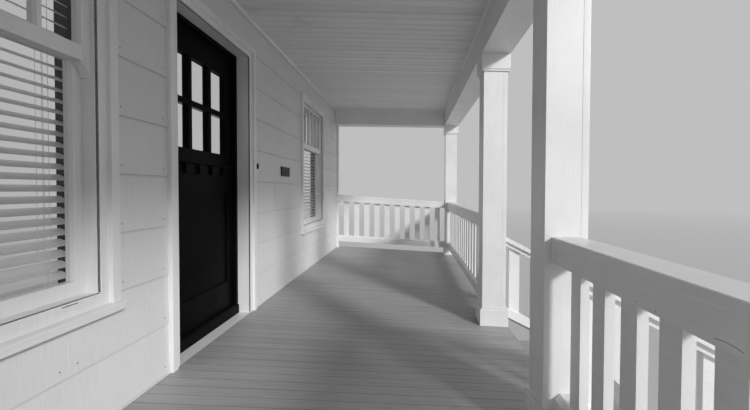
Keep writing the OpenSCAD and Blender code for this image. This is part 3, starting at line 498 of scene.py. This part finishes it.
def floatGlass():
    # thin clear panes: sharp reflections, patches of dust; lamps and soft light pass straight through
    material, tree, shader, place = startMaterial("float_glass", IOR=1.12)
    shader.inputs["Transmission Weight"].default_value = 1.0
    shader.inputs["Base Color"].default_value = toLinear("#f0f0f0")
    dust = noiseAt(tree, place, 250 * mm, detail=4.0)
    tree.links.new(calc(tree, "MULTIPLY", dust, 0.05), shader.inputs["Roughness"])
    path = addNode(tree, "ShaderNodeLightPath").outputs
    passing = calc(tree, "MAXIMUM", path["Is Shadow Ray"], path["Is Diffuse Ray"])
    clear = addNode(tree, "ShaderNodeBsdfTransparent", {"Color": toLinear("#f0f0f0")})
    pane = addNode(tree, "ShaderNodeMixShader", None,
                   {0: passing, 1: shader.outputs["BSDF"], 2: clear.outputs["BSDF"]})
    showInstead(tree, pane.outputs["Shader"])
    return material


def castConcrete():
    # cast concrete: cloudy tone, fine grit and small pits
    material, tree, shader, place = startMaterial("cast_concrete", Roughness=0.85)
    clouds = noiseAt(tree, place, 260 * mm, detail=8.0)
    grit = noiseAt(tree, place, 4 * mm, detail=4.0)
    colour = shadeBetween(tree, clouds, "#898989", "#a8a8a8")
    tree.links.new(darken(tree, colour, grit, "#b8b8b8", 0.3, 0.5, 0.5), shader.inputs["Base Color"])
    raiseBump(tree, shader, grit, 1.2 * mm)
    return material


roofing = {
    "exposure": 143 * mm,
    "tab": 305 * mm,
    "slot": 6 * mm,
    "thickness": 5 * mm,
    "grain": 6 * mm,                      # the real grains are 1.5 mm, drawn coarser to show
    "lap": 0.7,                           # of the thickness, what a tab's top lies lower than its butt
    "capWidth": 150 * mm,
    "capLength": 1.6,                     # of the exposure
    "slope": 1 / 4,
}


def asphaltGrit():
    # mineral grit rolled into asphalt: salt-and-pepper grains, tabs of slightly different blends
    material, tree, shader, place = startMaterial("asphalt_shingle_grit", Roughness=0.92)
    grit = noiseAt(tree, place, roofing["grain"], detail=2.0)
    blend = noiseAt(tree, place, roofing["tab"], (1, 2, 2), 2.0)
    colour = shadeBetween(tree, grit, "#3b3b3b", "#838383", 0.35, 0.65)
    tree.links.new(darken(tree, colour, blend, "#c4c4c4", 0.35, 0.6), shader.inputs["Base Color"])
    raiseBump(tree, shader, grit, 1.0 * mm)
    return material


def sawnSoftwood(name, axis, reach, front):
    # sawn softwood: growth rings drawn out along the stick; white paint on what faces outdoors,
    # which lies past a distance from the middle or in front of a place
    material, tree, shader, place = startMaterial("sawn_softwood_" + name, Roughness=0.75)
    rings = noiseAt(tree, place, 12 * mm, grainAlong(axis), 5.0)
    sideways = calc(tree, "GREATER_THAN", calc(tree, "ABSOLUTE", partOf(tree, place, 0)), reach)
    forwards = calc(tree, "LESS_THAN", partOf(tree, place, 1), front)
    outdoors = calc(tree, "MAXIMUM", sideways, forwards)
    colour = shadeBetween(tree, rings, "#8f7a5c", "#c2ad8b")
    tree.links.new(mixColours(tree, outdoors, colour, toLinear("#e2e2e2")), shader.inputs["Base Color"])
    raiseBump(tree, shader, rings, 0.5 * mm)
    return material


def framingTimber(node, axis, reach=None):
    low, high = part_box(node)
    return sawnSoftwood(node, axis, reach or high.x - 1 * mm, low.y + 1 * mm)


def slotShade():
    # painted shade inside a slot: matt, nearly black
    material, tree, shader, place = startMaterial("painted_shade_in_slots", Roughness=0.9)
    shader.inputs["Base Color"].default_value = toLinear("#262626")
    return material


def blackLacquer():
    # black lacquer on brass: satin, rubbed greyer in places
    material, tree, shader, place = startMaterial("black_lacquered_brass")
    shader.inputs["Specular IOR Level"].default_value = 0.15
    rub = noiseAt(tree, place, 30 * mm, detail=4.0)
    tree.links.new(shadeBetween(tree, rub, "#0b0b0b", "#1e1e1e", 0.4, 0.8), shader.inputs["Base Color"])
    tree.links.new(calc(tree, "MULTIPLY_ADD", rub, 0.3, 0.3), shader.inputs["Roughness"])
    return material


def brushedSteel():
    # brushed steel: fine marks up and down
    material, tree, shader, place = startMaterial("brushed_hinge_steel", Roughness=0.35, Metallic=1.0)
    marks = noiseAt(tree, place, 0.8 * mm, grainAlong(2))
    tree.links.new(shadeBetween(tree, marks, "#8c8c8c", "#b3b3b3"), shader.inputs["Base Color"])
    raiseBump(tree, shader, marks, 0.05 * mm)
    return material


def paintedBasswood():
    # painted basswood slats: even, faintly streaked along their length
    material, tree, shader, place = startMaterial("painted_basswood_slat", Roughness=0.45)
    streaks = noiseAt(tree, place, 8 * mm, grainAlong(0))
    tree.links.new(shadeBetween(tree, streaks, "#e4e4e4", "#eeeeee"), shader.inputs["Base Color"])
    raiseBump(tree, shader, streaks, 0.15 * mm)
    return material


def indoorPlaster():
    # matt emulsion on plaster inside, with roller stipple; black building paper under the shingles
    material, tree, shader, place = startMaterial("indoor_plaster", Roughness=0.8)
    stipple = noiseAt(tree, place, 6 * mm)
    clouds = noiseAt(tree, place, 700 * mm)
    outside = calc(tree, "LESS_THAN", partOf(tree, place, 1), wallFace + siding["depth"] + 1 * mm)
    colour = shadeBetween(tree, clouds, "#cecece", "#d8d8d8")
    tree.links.new(mixColours(tree, outside, colour, toLinear("#242424")), shader.inputs["Base Color"])
    raiseBump(tree, shader, stipple, 0.4 * mm)
    return material


# Wall: sheathing with courses of fibre-cement shingles butted against the trim

nailHead = {"sunk": 2 * mm, "proud": 0.3 * mm, "sides": 8}
cutReach = 50 * mm                        # both ways from the wall's face, for cuts in the shingles


def openingsInWall():
    # outlines (x0, x1, z0, z1) that the shingles stop at: casings with their sills
    outlines = [(casing[0].x, casing[1].x, sill[0].z, casing[1].z)
                for casing, sill in zip(solidsAlong("window_casings"), solidsAlong("window_sills"))]
    low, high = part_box("door_casing")
    belowWall = low.z - 1                 # the doorway is cut down through the wall's foot
    return outlines + [(low.x, high.x, belowWall, high.z)]


def shingleRow(left, right, index):
    # the shingles of one course, still too long at both ends, and the joints between them
    length = siding["topLength"] if index == 0 else siding["length"]
    seam = deckTop + siding["seam"] - index * siding["exposure"]
    joint = siding["joints" if left > 0 else "leftJoints"][index % len(siding["joints"])]
    start = joint - math.ceil((joint - left) / length) * length
    count = math.ceil((right - start) / length)
    end = start + length - siding["gap"]
    shingle = addBox("shingle", (start, wallFace, seam),
                     (end, wallFace + siding["thickness"], seam + siding["exposure"]))
    easeEdges(shingle, siding["ease"], 2, lambda c: all(p.y < wallFace + near for p in c))
    tuck = siding["depth"] - siding["thickness"]
    movePoints(shingle, (0, tuck, 0), lambda p: p.z > seam + siding["exposure"] / 2)
    inRow(shingle, count, (length, 0, 0))
    return shingle, seam, [start + i * length for i in range(count + 1)]


def freeRuns(left, right, z, outlines):
    # stretches of wall at a height that no opening interrupts
    edges = [left]
    for x0, x1, z0, z1 in sorted(outlines):
        if z0 < z < z1 and x1 > left and x0 < right:
            edges += [x0, x1]
    edges.append(right)
    return [(a, b) for a, b in zip(edges[::2], edges[1::2]) if b - a > siding["shortestRun"]]


def nailPlaces(left, right, seam, joints, outlines, top):
    places = []
    z = seam + siding["nailUp"]
    if not deckTop < z < top:
        return places
    for a, b in freeRuns(left, right, z, outlines):
        clear = siding["clearOfJoint"]
        cuts = [a] + [joint for joint in joints if a + clear < joint < b - clear] + [b]
        for start, end in zip(cuts, cuts[1:]):
            inner = end - start - 2 * siding["nailIn"]
            if inner > 0:
                steps = max(1, round(inner / siding["nailSpacing"]))
                first = start + siding["nailIn"]
                places += [(first + inner * i / steps, 0, z) for i in range(steps + 1)]
    return places


def shingledWall(name, node, shinglePaint, nailPaint, plaster):
    low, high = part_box(node)
    corners = solidsAlong("corner_boards")
    left, right = low.x, high.x
    if node == "wall_left":
        left = max(left, corners[0][1].x)
    if node == "wall_right":
        right = min(right, corners[-1][0].x)
    seam = deckTop + siding["seam"]
    first = -math.ceil((high.z - seam) / siding["exposure"])
    last = math.ceil((seam - low.z) / siding["exposure"])
    outlines = openingsInWall()
    rows, nails = [], []
    for index in range(first, last + 1):
        row, z, joints = shingleRow(left, right, index)
        rows.append(row)
        nails += nailPlaces(left, right, z, joints, outlines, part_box("ceiling")[0].z)
    courses = join("courses", rows)
    cutOff(courses, (left, 0, 0), (-1, 0, 0))
    cutOff(courses, (right, 0, 0), (1, 0, 0))
    cutOff(courses, (0, 0, low.z), (0, 0, -1))
    cutOff(courses, (0, 0, high.z), (0, 0, 1))
    for x0, x1, z0, z1 in outlines:
        if x1 > left and x0 < right:
            cutOut(courses, (x0, wallFace - cutReach, z0), (x1, wallFace + cutReach, z1))
    paintPiece(courses, shinglePaint)
    core = paintPiece(meshFrom("core", node), plaster)
    movePoints(core, (0, siding["depth"], 0), lambda p: abs(p.y - wallFace) < near)
    parts = [courses, core]
    if nails:
        nail = addRod("nail", siding["nailRadius"], (0, wallFace + nailHead["sunk"], 0),
                      (0, wallFace - nailHead["proud"], 0), nailHead["sides"])
        parts.append(copyAt(paintPiece(nail, nailPaint), nails))
    return finishPiece(join(name, parts), "siding", node)


# Floor and ceiling boards

def floorBoards(material):
    low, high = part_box("deck_boards")
    pitch = boardSizes["deckPitch"]
    board = addBox("porch_floor_boards", (low.x, low.y, high.z - boardSizes["deckThickness"]),
                   (low.x + pitch - boardSizes["deckGap"], high.y, high.z))
    easeEdges(board, boardSizes["deckEase"], 1, runsAlong(1, lambda p: p.z > high.z - near))
    easeEdges(board, boardSizes["nosing"], 3, runsAlong(0, lambda p: p.y < low.y + near))
    middle = (low.y + high.y) / 2
    movePoints(board, (0, 0, -(high.y - low.y) * deckFall), lambda p: p.y < middle)
    inRow(board, math.ceil((high.x - low.x) / pitch), (pitch, 0, 0))
    cutOff(board, (high.x, 0, 0), (1, 0, 0))
    return finishPiece(paintPiece(board, material), "deck_paint", "deck_boards")


def beadedCeiling(material):
    low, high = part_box("ceiling")
    pitch, bead, vee = boardSizes["ceilingPitch"], boardSizes["bead"], boardSizes["vee"]
    underside = runsAlong(1, lambda p: p.z < low.z + near)
    board = addBox("board", low, (low.x + pitch - bead, high.y, high.z))
    easeEdges(board, vee, 1, underside)
    strip = addBox("bead", (low.x + pitch - bead, low.y, low.z), (low.x + pitch, high.y, high.z))
    easeEdges(strip, bead * boardSizes["beadRound"], 3, underside)
    both = join("beaded_ceiling_boards", [board, strip])
    inRow(both, math.ceil((high.x - low.x) / pitch), (pitch, 0, 0))
    cutOff(both, (high.x, 0, 0), (1, 0, 0))
    return finishPiece(paintPiece(both, material), "ceiling_paint", "ceiling")


# Column shafts: four boards lapped in turn, so that each face shows one joint

column = {"board": 34 * mm, "ease": 2.2 * mm}


def boxedShafts(material):
    shafts = []
    for low, high in solidsAlong("column_shafts"):
        board = addBox("board", low, (high.x - column["board"], low.y + column["board"], high.z))
        easeEdges(board, column["ease"], 2, runsAlong(2))
        middle = (low + high) / 2
        sides = [board] + [copyOf(board) for number in range(3)]
        for turn, side in enumerate(sides):
            turnPiece(side, 90 * turn, "Z", middle)
        shaft = join("shaft", sides)
        cutOff(shaft, (middle.x, low.y, low.z), (0, deckFall, -1))
        shafts.append(shaft)
    allShafts = paintPiece(join("boxed_column_shafts", shafts), material)
    return finishPiece(allShafts, "white_paint", "column_shafts")


# Railings: rounded cap on a deep beam, bevelled bottom rail, flat balusters

railing = {
    "cap": 36 * mm,
    "capWidth": 140 * mm,
    "capEase": 8 * mm,
    "beam": 79 * mm,
    "beamWidth": 134 * mm,
    "foot": 106 * mm,
    "footWidth": 89 * mm,
    "footBevel": 22 * mm,
    "ease": 1.6 * mm,
    "baluster": (89 * mm, 38 * mm),
    "tenon": 2 * mm,                      # into the foot and the beam
    "widestGap": 102 * mm,
    "nailRadius": 2.2 * mm,
    # mm along from the entry's side and up from the beam's lower edge
    "nails": [(46, 41), (449, 63), (641, 10), (730, 11), (1215, 34), (1655, 15), (2130, 48), (2590, 12),
              (3010, 57)],
    "check": [(918, 15), (940, 19), (966, 19), (991, 15)],   # hairline crack, measured alike
    "checkRadius": 0.7 * mm,
    "checkSides": 6,
}


def railSection(name, ends, y, width, low, high, bevel, segments):
    # bar along X with its upper long edges bevelled and the rest eased
    bar = addBox(name, (ends[0], y - width / 2, low), (ends[1], y + width / 2, high))
    easeEdges(bar, bevel, segments, runsAlong(0, lambda p: p.z > high - near))
    easeEdges(bar, railing["ease"], 2, runsAlong(0, lambda p: p.z < low + near))
    return bar


def levelRailing(low, high, material, nailPaint):
    y = (low.y + high.y) / 2
    face, thick = railing["baluster"]
    beamTop = high.z - railing["cap"]
    beamLow = beamTop - railing["beam"]
    footTop = low.z + railing["foot"]
    ends = (low.x, high.x)
    cap = railSection("cap", ends, y, railing["capWidth"], beamTop, high.z, railing["capEase"], 4)
    beam = railSection("beam", ends, y, railing["beamWidth"], beamLow, beamTop, railing["ease"], 2)
    foot = railSection("foot", ends, y, railing["footWidth"], low.z, footTop, railing["footBevel"], 1)
    for plinthLow, plinthHigh in solidsAlong("column_plinths"):
        if plinthHigh.x > low.x and plinthLow.x < high.x:
            cutOut(foot, plinthLow, plinthHigh)
    count = math.ceil((high.x - low.x - railing["widestGap"]) / (face + railing["widestGap"]))
    gap = (high.x - low.x - count * face) / (count + 1)
    baluster = addBox("baluster", (low.x + gap, y - thick / 2, footTop - railing["tenon"]),
                      (low.x + gap + face, y + thick / 2, beamLow + railing["tenon"]))
    easeEdges(baluster, railing["ease"], 2, runsAlong(2))
    inRow(baluster, count, (face + gap, 0, 0))
    inside = y + railing["beamWidth"] / 2
    start, way = (low.x, 1) if low.x > 0 else (high.x, -1)
    nail = addRod("nail", railing["nailRadius"], (0, inside - nailHead["sunk"], 0),
                  (0, inside + nailHead["proud"], 0), nailHead["sides"])
    places = [(start + way * along * mm, 0, beamLow + up * mm) for along, up in railing["nails"]]
    marks = [copyAt(paintPiece(nail, nailPaint), places)]
    if way < 0:
        # painted shade: the crack is drawn as thin dark rods standing proud, in the nails' dark
        bends = [(start + way * along * mm, inside, beamLow + up * mm) for along, up in railing["check"]]
        for first, second in zip(bends, bends[1:]):
            check = addRod("check", railing["checkRadius"], first, second, railing["checkSides"])
            marks.append(paintPiece(check, nailPaint))
    panel = paintPiece(join("panel", [cap, beam, foot, baluster]), material)
    return join("panel", [panel] + marks)


def frontRailings(material, nailPaint):
    panels = [levelRailing(*box, material, nailPaint) for box in solidsAlong("front_railings")]
    return finishPiece(join("front_railing_panels", panels), "white_paint", "front_railings")


# Window blinds: crowned slats on ladder cords, taut between a head rail and a flat bottom rail

blind = {
    "pitch": 45 * mm,
    "width": 50 * mm,
    "thickness": 2.6 * mm,
    "crown": 2.4 * mm,
    "tilt": 29,                           # degrees, the room side up
    "headRail": 40 * mm,
    "headEase": 2 * mm,
    "bottomRail": 12 * mm,
    "bottomEase": 3 * mm,
    "bottomLift": 1 * mm,
    "ladderAt": 0.81,                     # of half the width
    "cordRadius": 0.8 * mm,
    "cordSides": 6,
    "cordInset": 1 * mm,                  # of the ladders, from the slats' edges
    "cordEnds": (5 * mm, 2 * mm),         # up from the lower end, and past the head rail's underside
    "tapeBeside": 21 * mm,                # from the right ladder to a second cord in front
}


def slattedBlind(low, high):
    y, half = (low.y + high.y) / 2, blind["width"] / 2
    top = high.z - blind["headRail"]
    count = int((top - low.z) / blind["pitch"])
    z = top - blind["pitch"]
    slat = addBox("slat", (low.x, y - half, z - blind["thickness"] / 2),
                  (high.x, y + half, z + blind["thickness"] / 2))
    pick(slat, "EDGE", runsAlong(1))
    bpy.ops.mesh.subdivide(number_cuts=3)
    objectMode()
    for reach, share in ((0, 1.0), (half / 2, 0.75)):
        movePoints(slat, (0, 0, blind["crown"] * share), lambda p: abs(abs(p.y - y) - reach) < near)
    turnPiece(slat, blind["tilt"], "X", (0, y, z))
    inRow(slat, count - 1, (0, 0, -blind["pitch"]))
    head = addBox("head", (low.x, y - half, top), (high.x, y + half, high.z))
    easeEdges(head, blind["headEase"])
    footLow = low.z + blind["bottomLift"]
    foot = addBox("foot", (low.x, y - half, footLow), (high.x, y + half, footLow + blind["bottomRail"]))
    easeEdges(foot, blind["bottomEase"])
    middle = (low.x + high.x) / 2
    reach = (high.x - low.x) / 2 * blind["ladderAt"]
    out = half - blind["cordInset"]
    places = [(x, y + side, 0) for x in (middle - reach, middle + reach) for side in (-out, out, 0)]
    places.append((middle + reach - blind["tapeBeside"], y - out, 0))
    lift, past = blind["cordEnds"]
    cord = addRod("cord", blind["cordRadius"], (0, 0, low.z + lift), (0, 0, top + past),
                  blind["cordSides"])
    return join("blind", [slat, head, foot, copyAt(cord, places)])


def windowBlinds(material):
    blinds = [slattedBlind(*box) for box in solidsAlong("window_blinds")]
    both = paintPiece(join("slatted_window_blinds", blinds), material)
    return finishPiece(both, "blind", "window_blinds")


# Trim, carried back to the sheathing behind the shingles, with a thin slot in each window's lower band

bandSlot = {
    "from": 107 * mm,                     # from the opening's right edge
    "to": 177 * mm,
    "above": 45 * mm,                     # over the sill
    "height": 3 * mm,
    "front": 10 * mm,                     # the cut's reach in front of the wall's face
    "floor": 0.5 * mm,                    # left standing in front of the wall's face
}


def windowSlots():
    # corners of the box that is cut for each slot
    boxes = []
    for opening, sill in zip(solidsAlong("window_blinds"), solidsAlong("window_sills")):
        right = opening[1].x
        z = sill[1].z + bandSlot["above"]
        boxes.append(((right - bandSlot["to"], wallFace - bandSlot["front"], z),
                      (right - bandSlot["from"], wallFace - bandSlot["floor"], z + bandSlot["height"])))
    return boxes


def paintInside(piece, low, high, materialIndex):
    # gives the faces inside a slot one of the piece's materials
    slack = near / 2
    pick(piece, "FACE", lambda c: all(low[axis] - slack < p[axis] < high[axis] + slack
                                      for p in c for axis in (0, 2)))
    piece.active_material_index = materialIndex
    bpy.ops.object.material_slot_assign()
    objectMode()


def trimToSheathing(name, node, material, ease, slots=()):
    trim = meshFrom(name, node)
    for low, high in slots:
        cutOut(trim, low, high)
    movePoints(trim, (0, siding["depth"], 0), lambda p: abs(p.y - wallFace) < near)
    applyModifier(trim, "BEVEL", width=ease, segments=3, limit_method="ANGLE", angle_limit=edgeAngle)
    paintPiece(trim, material)
    if slots:
        # painted shade: the faces inside each slot take a nearly black second material
        trim.data.materials.append(slotShade())
    for low, high in slots:
        paintInside(trim, low, high, 1)
    return finishPiece(trim, "white_paint", node)


# Roof: courses of three-tab shingles, with caps folded over the hips

def tabCourses(name, width, run, slope):
    # courses that climb along +Y from an eave at the origin, centred on X
    length = run * math.hypot(1, slope)
    rise, thick = roofing["exposure"], roofing["thickness"]
    lap = thick * roofing["lap"]
    count = math.ceil(length / rise)
    rows = []
    for index in range(count):
        shift = roofing["tab"] / 2 * (index % 2)
        start = -width / 2 - shift
        tab = addBox("tab", (start, index * rise, -thick),
                     (start + roofing["tab"] - roofing["slot"], min((index + 1) * rise, length), 0))
        movePoints(tab, (0, 0, -lap), lambda p: p.y > (index + 0.5) * rise)
        inRow(tab, math.ceil((width + shift) / roofing["tab"]), (roofing["tab"], 0, 0))
        rows.append(tab)
    base = addBox("base", (-width / 2, 0, -thick - lap), (width / 2, length, -thick))
    slopePiece = join(name, rows + [base])
    cutOff(slopePiece, (-width / 2, 0, 0), (-1, 0, 0))
    cutOff(slopePiece, (width / 2, 0, 0), (1, 0, 0))
    turnPiece(slopePiece, math.degrees(math.atan(slope)), "X", (0, 0, 0))
    return slopePiece


def hipCaps(name, run, slope):
    # folded caps that climb along +Y from a corner at the origin, each lapped by the next
    width, rise, thick = roofing["capWidth"], roofing["exposure"], roofing["thickness"]
    fold = slope / math.sqrt(2)
    cap = addBox(name, (-width / 2, 0, 0), (width / 2, roofing["capLength"] * rise, thick))
    pick(cap, "EDGE", runsAlong(0))
    bpy.ops.mesh.subdivide(number_cuts=1)
    objectMode()
    movePoints(cap, (0, 0, -width / 2 * fold), lambda p: abs(p.x) > width / 4)
    movePoints(cap, (0, 0, -thick), lambda p: p.y > rise)
    inRow(cap, math.ceil(run * math.sqrt(2 + slope ** 2) / rise), (0, rise, 0))
    turnPiece(cap, math.degrees(math.atan(fold)), "X", (0, 0, 0))
    return cap


def roofCourses(material):
    low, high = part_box("roof_shingles")
    run = high.y - low.y
    slope = roofing["slope"]
    eave = high.z - run * slope
    front = tabCourses("front", high.x - low.x, run, slope)
    selectOnly(front)
    front.location = (0, low.y, eave)
    placeNew("front")
    cutOff(front, (high.x, low.y, 0), (1, 1, 0))
    cutOff(front, (low.x, low.y, 0), (-1, 1, 0))
    slopes = [front]
    for side in (-1, 1):
        end = tabCourses("end", 2 * run, run, slope)
        turnPiece(end, 90 * side, "Z", (0, 0, 0))
        selectOnly(end)
        end.location = (high.x * side, high.y, eave)
        placeNew("end")
        cutOff(end, (high.x * side, low.y, 0), (-side, -1, 0))
        cutOff(end, (0, high.y, 0), (0, 1, 0))
        slopes.append(end)
        caps = hipCaps("caps", run, slope)
        turnPiece(caps, 45 * side, "Z", (0, 0, 0))
        selectOnly(caps)
        caps.location = (high.x * side, low.y, eave)
        placeNew("caps")
        cutOff(caps, (high.x * side, 0, 0), (side, 0, 0))
        cutOff(caps, (0, low.y, 0), (0, -1, 0))
        cutOff(caps, (0, high.y, 0), (0, 1, 0))
        slopes.append(caps)
    courses = paintPiece(join("roof_shingle_courses", slopes), material)
    return finishPiece(courses, "roofing", "roof_shingles")


# CAD nodes that stay: a finish, and eased edges

def finishNode(node, material, ease=1.5 * mm):
    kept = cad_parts[node]
    paintPiece(kept, material)
    if ease:
        weld = kept.modifiers.new("weld", "WELD")
        weld.merge_threshold = weldWithin
        soft = kept.modifiers.new("ease", "BEVEL")
        soft.width = ease
        soft.segments = 2
        soft.limit_method = "ANGLE"
        soft.angle_limit = edgeAngle


# Studio: plain pale floor and surroundings, soft light all round, one soft key from the street side

studio = {
    "floor": "#bcbcbc",
    "floorSize": 160,
    "surround": 0.52,                     # background, linear
    "dome": [(0.0, 0.7), (0.3, 0.75), (0.6, 0.5), (1.0, 0.4)],   # height over the horizon, strength
    "key": 2.4,
    "keyFrom": (-1.22, -1.0, 0.654),
    "keySoftness": 9,                     # degrees, as from a softbox
    "floorReach": (9, 40),                # m from the porch, where the floor fades into the background
}


def backgroundRays(tree):
    # rays that see the background: the camera's own, and those that metal and glass pass on
    path = addNode(tree, "ShaderNodeLightPath").outputs
    passedOn = calc(tree, "MAXIMUM", path["Is Glossy Ray"], path["Is Transmission Ray"])
    return calc(tree, "MAXIMUM", path["Is Camera Ray"], passedOn)


def addStudio():
    scene = bpy.context.scene
    world = bpy.data.worlds.new("studio")
    scene.world = world
    world.use_nodes = True
    tree = world.node_tree
    tree.nodes.clear()
    up = partOf(tree, addNode(tree, "ShaderNodeTexCoord").outputs["Generated"], 2)
    ramp = addNode(tree, "ShaderNodeValToRGB", None, {"Fac": up})
    stops = ramp.color_ramp.elements
    while len(stops) < len(studio["dome"]):
        stops.new(0.5)
    for stop, (height, strength) in zip(stops, studio["dome"]):
        stop.position = height
        stop.color = (strength, strength, strength, 1)
    strength = mixValues(tree, backgroundRays(tree), ramp.outputs["Color"], studio["surround"])
    shade = addNode(tree, "ShaderNodeBackground", {"Color": (1, 1, 1, 1)}, {"Strength": strength})
    addNode(tree, "ShaderNodeOutputWorld", None, {"Surface": shade.outputs[0]})

    objectMode()
    bpy.ops.object.light_add(type="SUN")
    key = bpy.context.object
    key.data.energy = studio["key"]
    key.data.angle = math.radians(studio["keySoftness"])
    key.rotation_euler = Vector(studio["keyFrom"]).to_track_quat("Z", "Y").to_euler()

    bpy.ops.mesh.primitive_plane_add(size=studio["floorSize"])
    floor = bpy.context.object
    floor.name = "studio_floor"
    material, tree, shader, place = startMaterial("studio_floor_paper", Roughness=0.9)
    shader.inputs["Base Color"].default_value = toLinear(studio["floor"])
    reach = addNode(tree, "ShaderNodeVectorMath", {"operation": "LENGTH"}, {0: place}).outputs["Value"]
    fade = addNode(tree, "ShaderNodeMapRange",
                   {"From Min": studio["floorReach"][0], "From Max": studio["floorReach"][1]},
                   {"Value": reach}).outputs[0]
    glow = addNode(tree, "ShaderNodeEmission", {"Strength": studio["surround"]})
    faded = calc(tree, "MULTIPLY", fade, backgroundRays(tree))
    mix = addNode(tree, "ShaderNodeMixShader", None,
                  {0: faded, 1: shader.outputs[0], 2: glow.outputs[0]})
    showInstead(tree, mix.outputs[0])
    paintPiece(floor, material)
    scene.view_settings.view_transform = "Standard"


addCamera()
addStudio()
print("camera and studio in place")

whitePaint = [paintedTimber("white_gloss_on_cedar_" + "xyz"[axis], "#dddddd", "#eaeaea", axis)
              for axis in range(3)]
# frame paint with painted shade behind the sashes
framePaint = paintedTimber("window_frame_gloss_and_painted_shade", "#dddddd", "#eaeaea", 2,
                           paintedShadeFrom=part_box("window_sashes")[1].y + 0.5 * mm)
greyPaint = paintedTimber("grey_gloss_on_cedar", "#9c9c9c", "#acacac", 1)
floorEnamel = porchFloorEnamel()
blackPaint = doorEnamel()
glass = floatGlass()
concrete = castConcrete()
metal = blackLacquer()
steel = brushedSteel()
nailPaint = nailRustAndShade()

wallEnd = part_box("wall_right")[1].x
keptNodes = {
    "door_frame": whitePaint[2], "window_frames": framePaint, "window_sashes": whitePaint[2],
    "column_plinths": whitePaint[0], "column_collars": whitePaint[0],
    "front_beam": whitePaint[0], "end_beams": whitePaint[1],
    "end_railings": whitePaint[1], "stair_railings": whitePaint[1], "newels": whitePaint[2],
    "skirts": whitePaint[2], "fascia": whitePaint[0], "soffit": whitePaint[0],
    "stair_risers": whitePaint[0], "floor_rim": whitePaint[0],
    "stair_treads": porchFloorEnamel(0), "stair_stringers": greyPaint,
    "door_stops": blackPaint, "door_sill": blackPaint,
    "door_slab": blackPaint, "door_shelf": blackPaint,
    "wall_plaque": metal, "doorbell": metal, "foundation": concrete, "piers": concrete,
    "deck_joists": framingTimber("deck_joists", 0), "deck_girders": framingTimber("deck_girders", 1),
    "roof_frame": framingTimber("roof_frame", 1, wallEnd - 1 * mm), "roof_boards": whitePaint[0],
}
for node, material in keptNodes.items():
    finishNode(node, material)
for node, material in (("ceiling_moulding", whitePaint[0]), ("door_handles", metal),
                       ("door_glass", glass), ("window_glass", glass),
                       ("hinge_leaves_door", steel), ("hinge_leaves_frame", steel)):
    finishNode(node, material, 0)
print("CAD nodes finished")

shinglePaint = shingleSidingPaint()
plaster = indoorPlaster()
for side in ("left", "right", "over_door"):
    shingledWall("shingled_wall_" + side, "wall_" + side, shinglePaint, nailPaint, plaster)
print("walls shingled")

trimToSheathing("window_trim", "window_casings", whitePaint[2], 1.2 * mm, windowSlots())
for node, title, axis, ease in (("door_casing", "door_trim", 2, 2.5),
                                ("window_sills", "window_sill_boards", 0, 3),
                                ("corner_boards", "house_corner_boards", 2, 2.5)):
    trimToSheathing(title, node, whitePaint[axis], ease * mm)
print("trim carried back")

floorBoards(floorEnamel)
beadedCeiling(ceilingSatin())
boxedShafts(whitePaint[2])
frontRailings(whitePaint[0], nailPaint)
windowBlinds(paintedBasswood())
roofCourses(asphaltGrit())
print("boards, columns, railings, blinds and roof modelled")
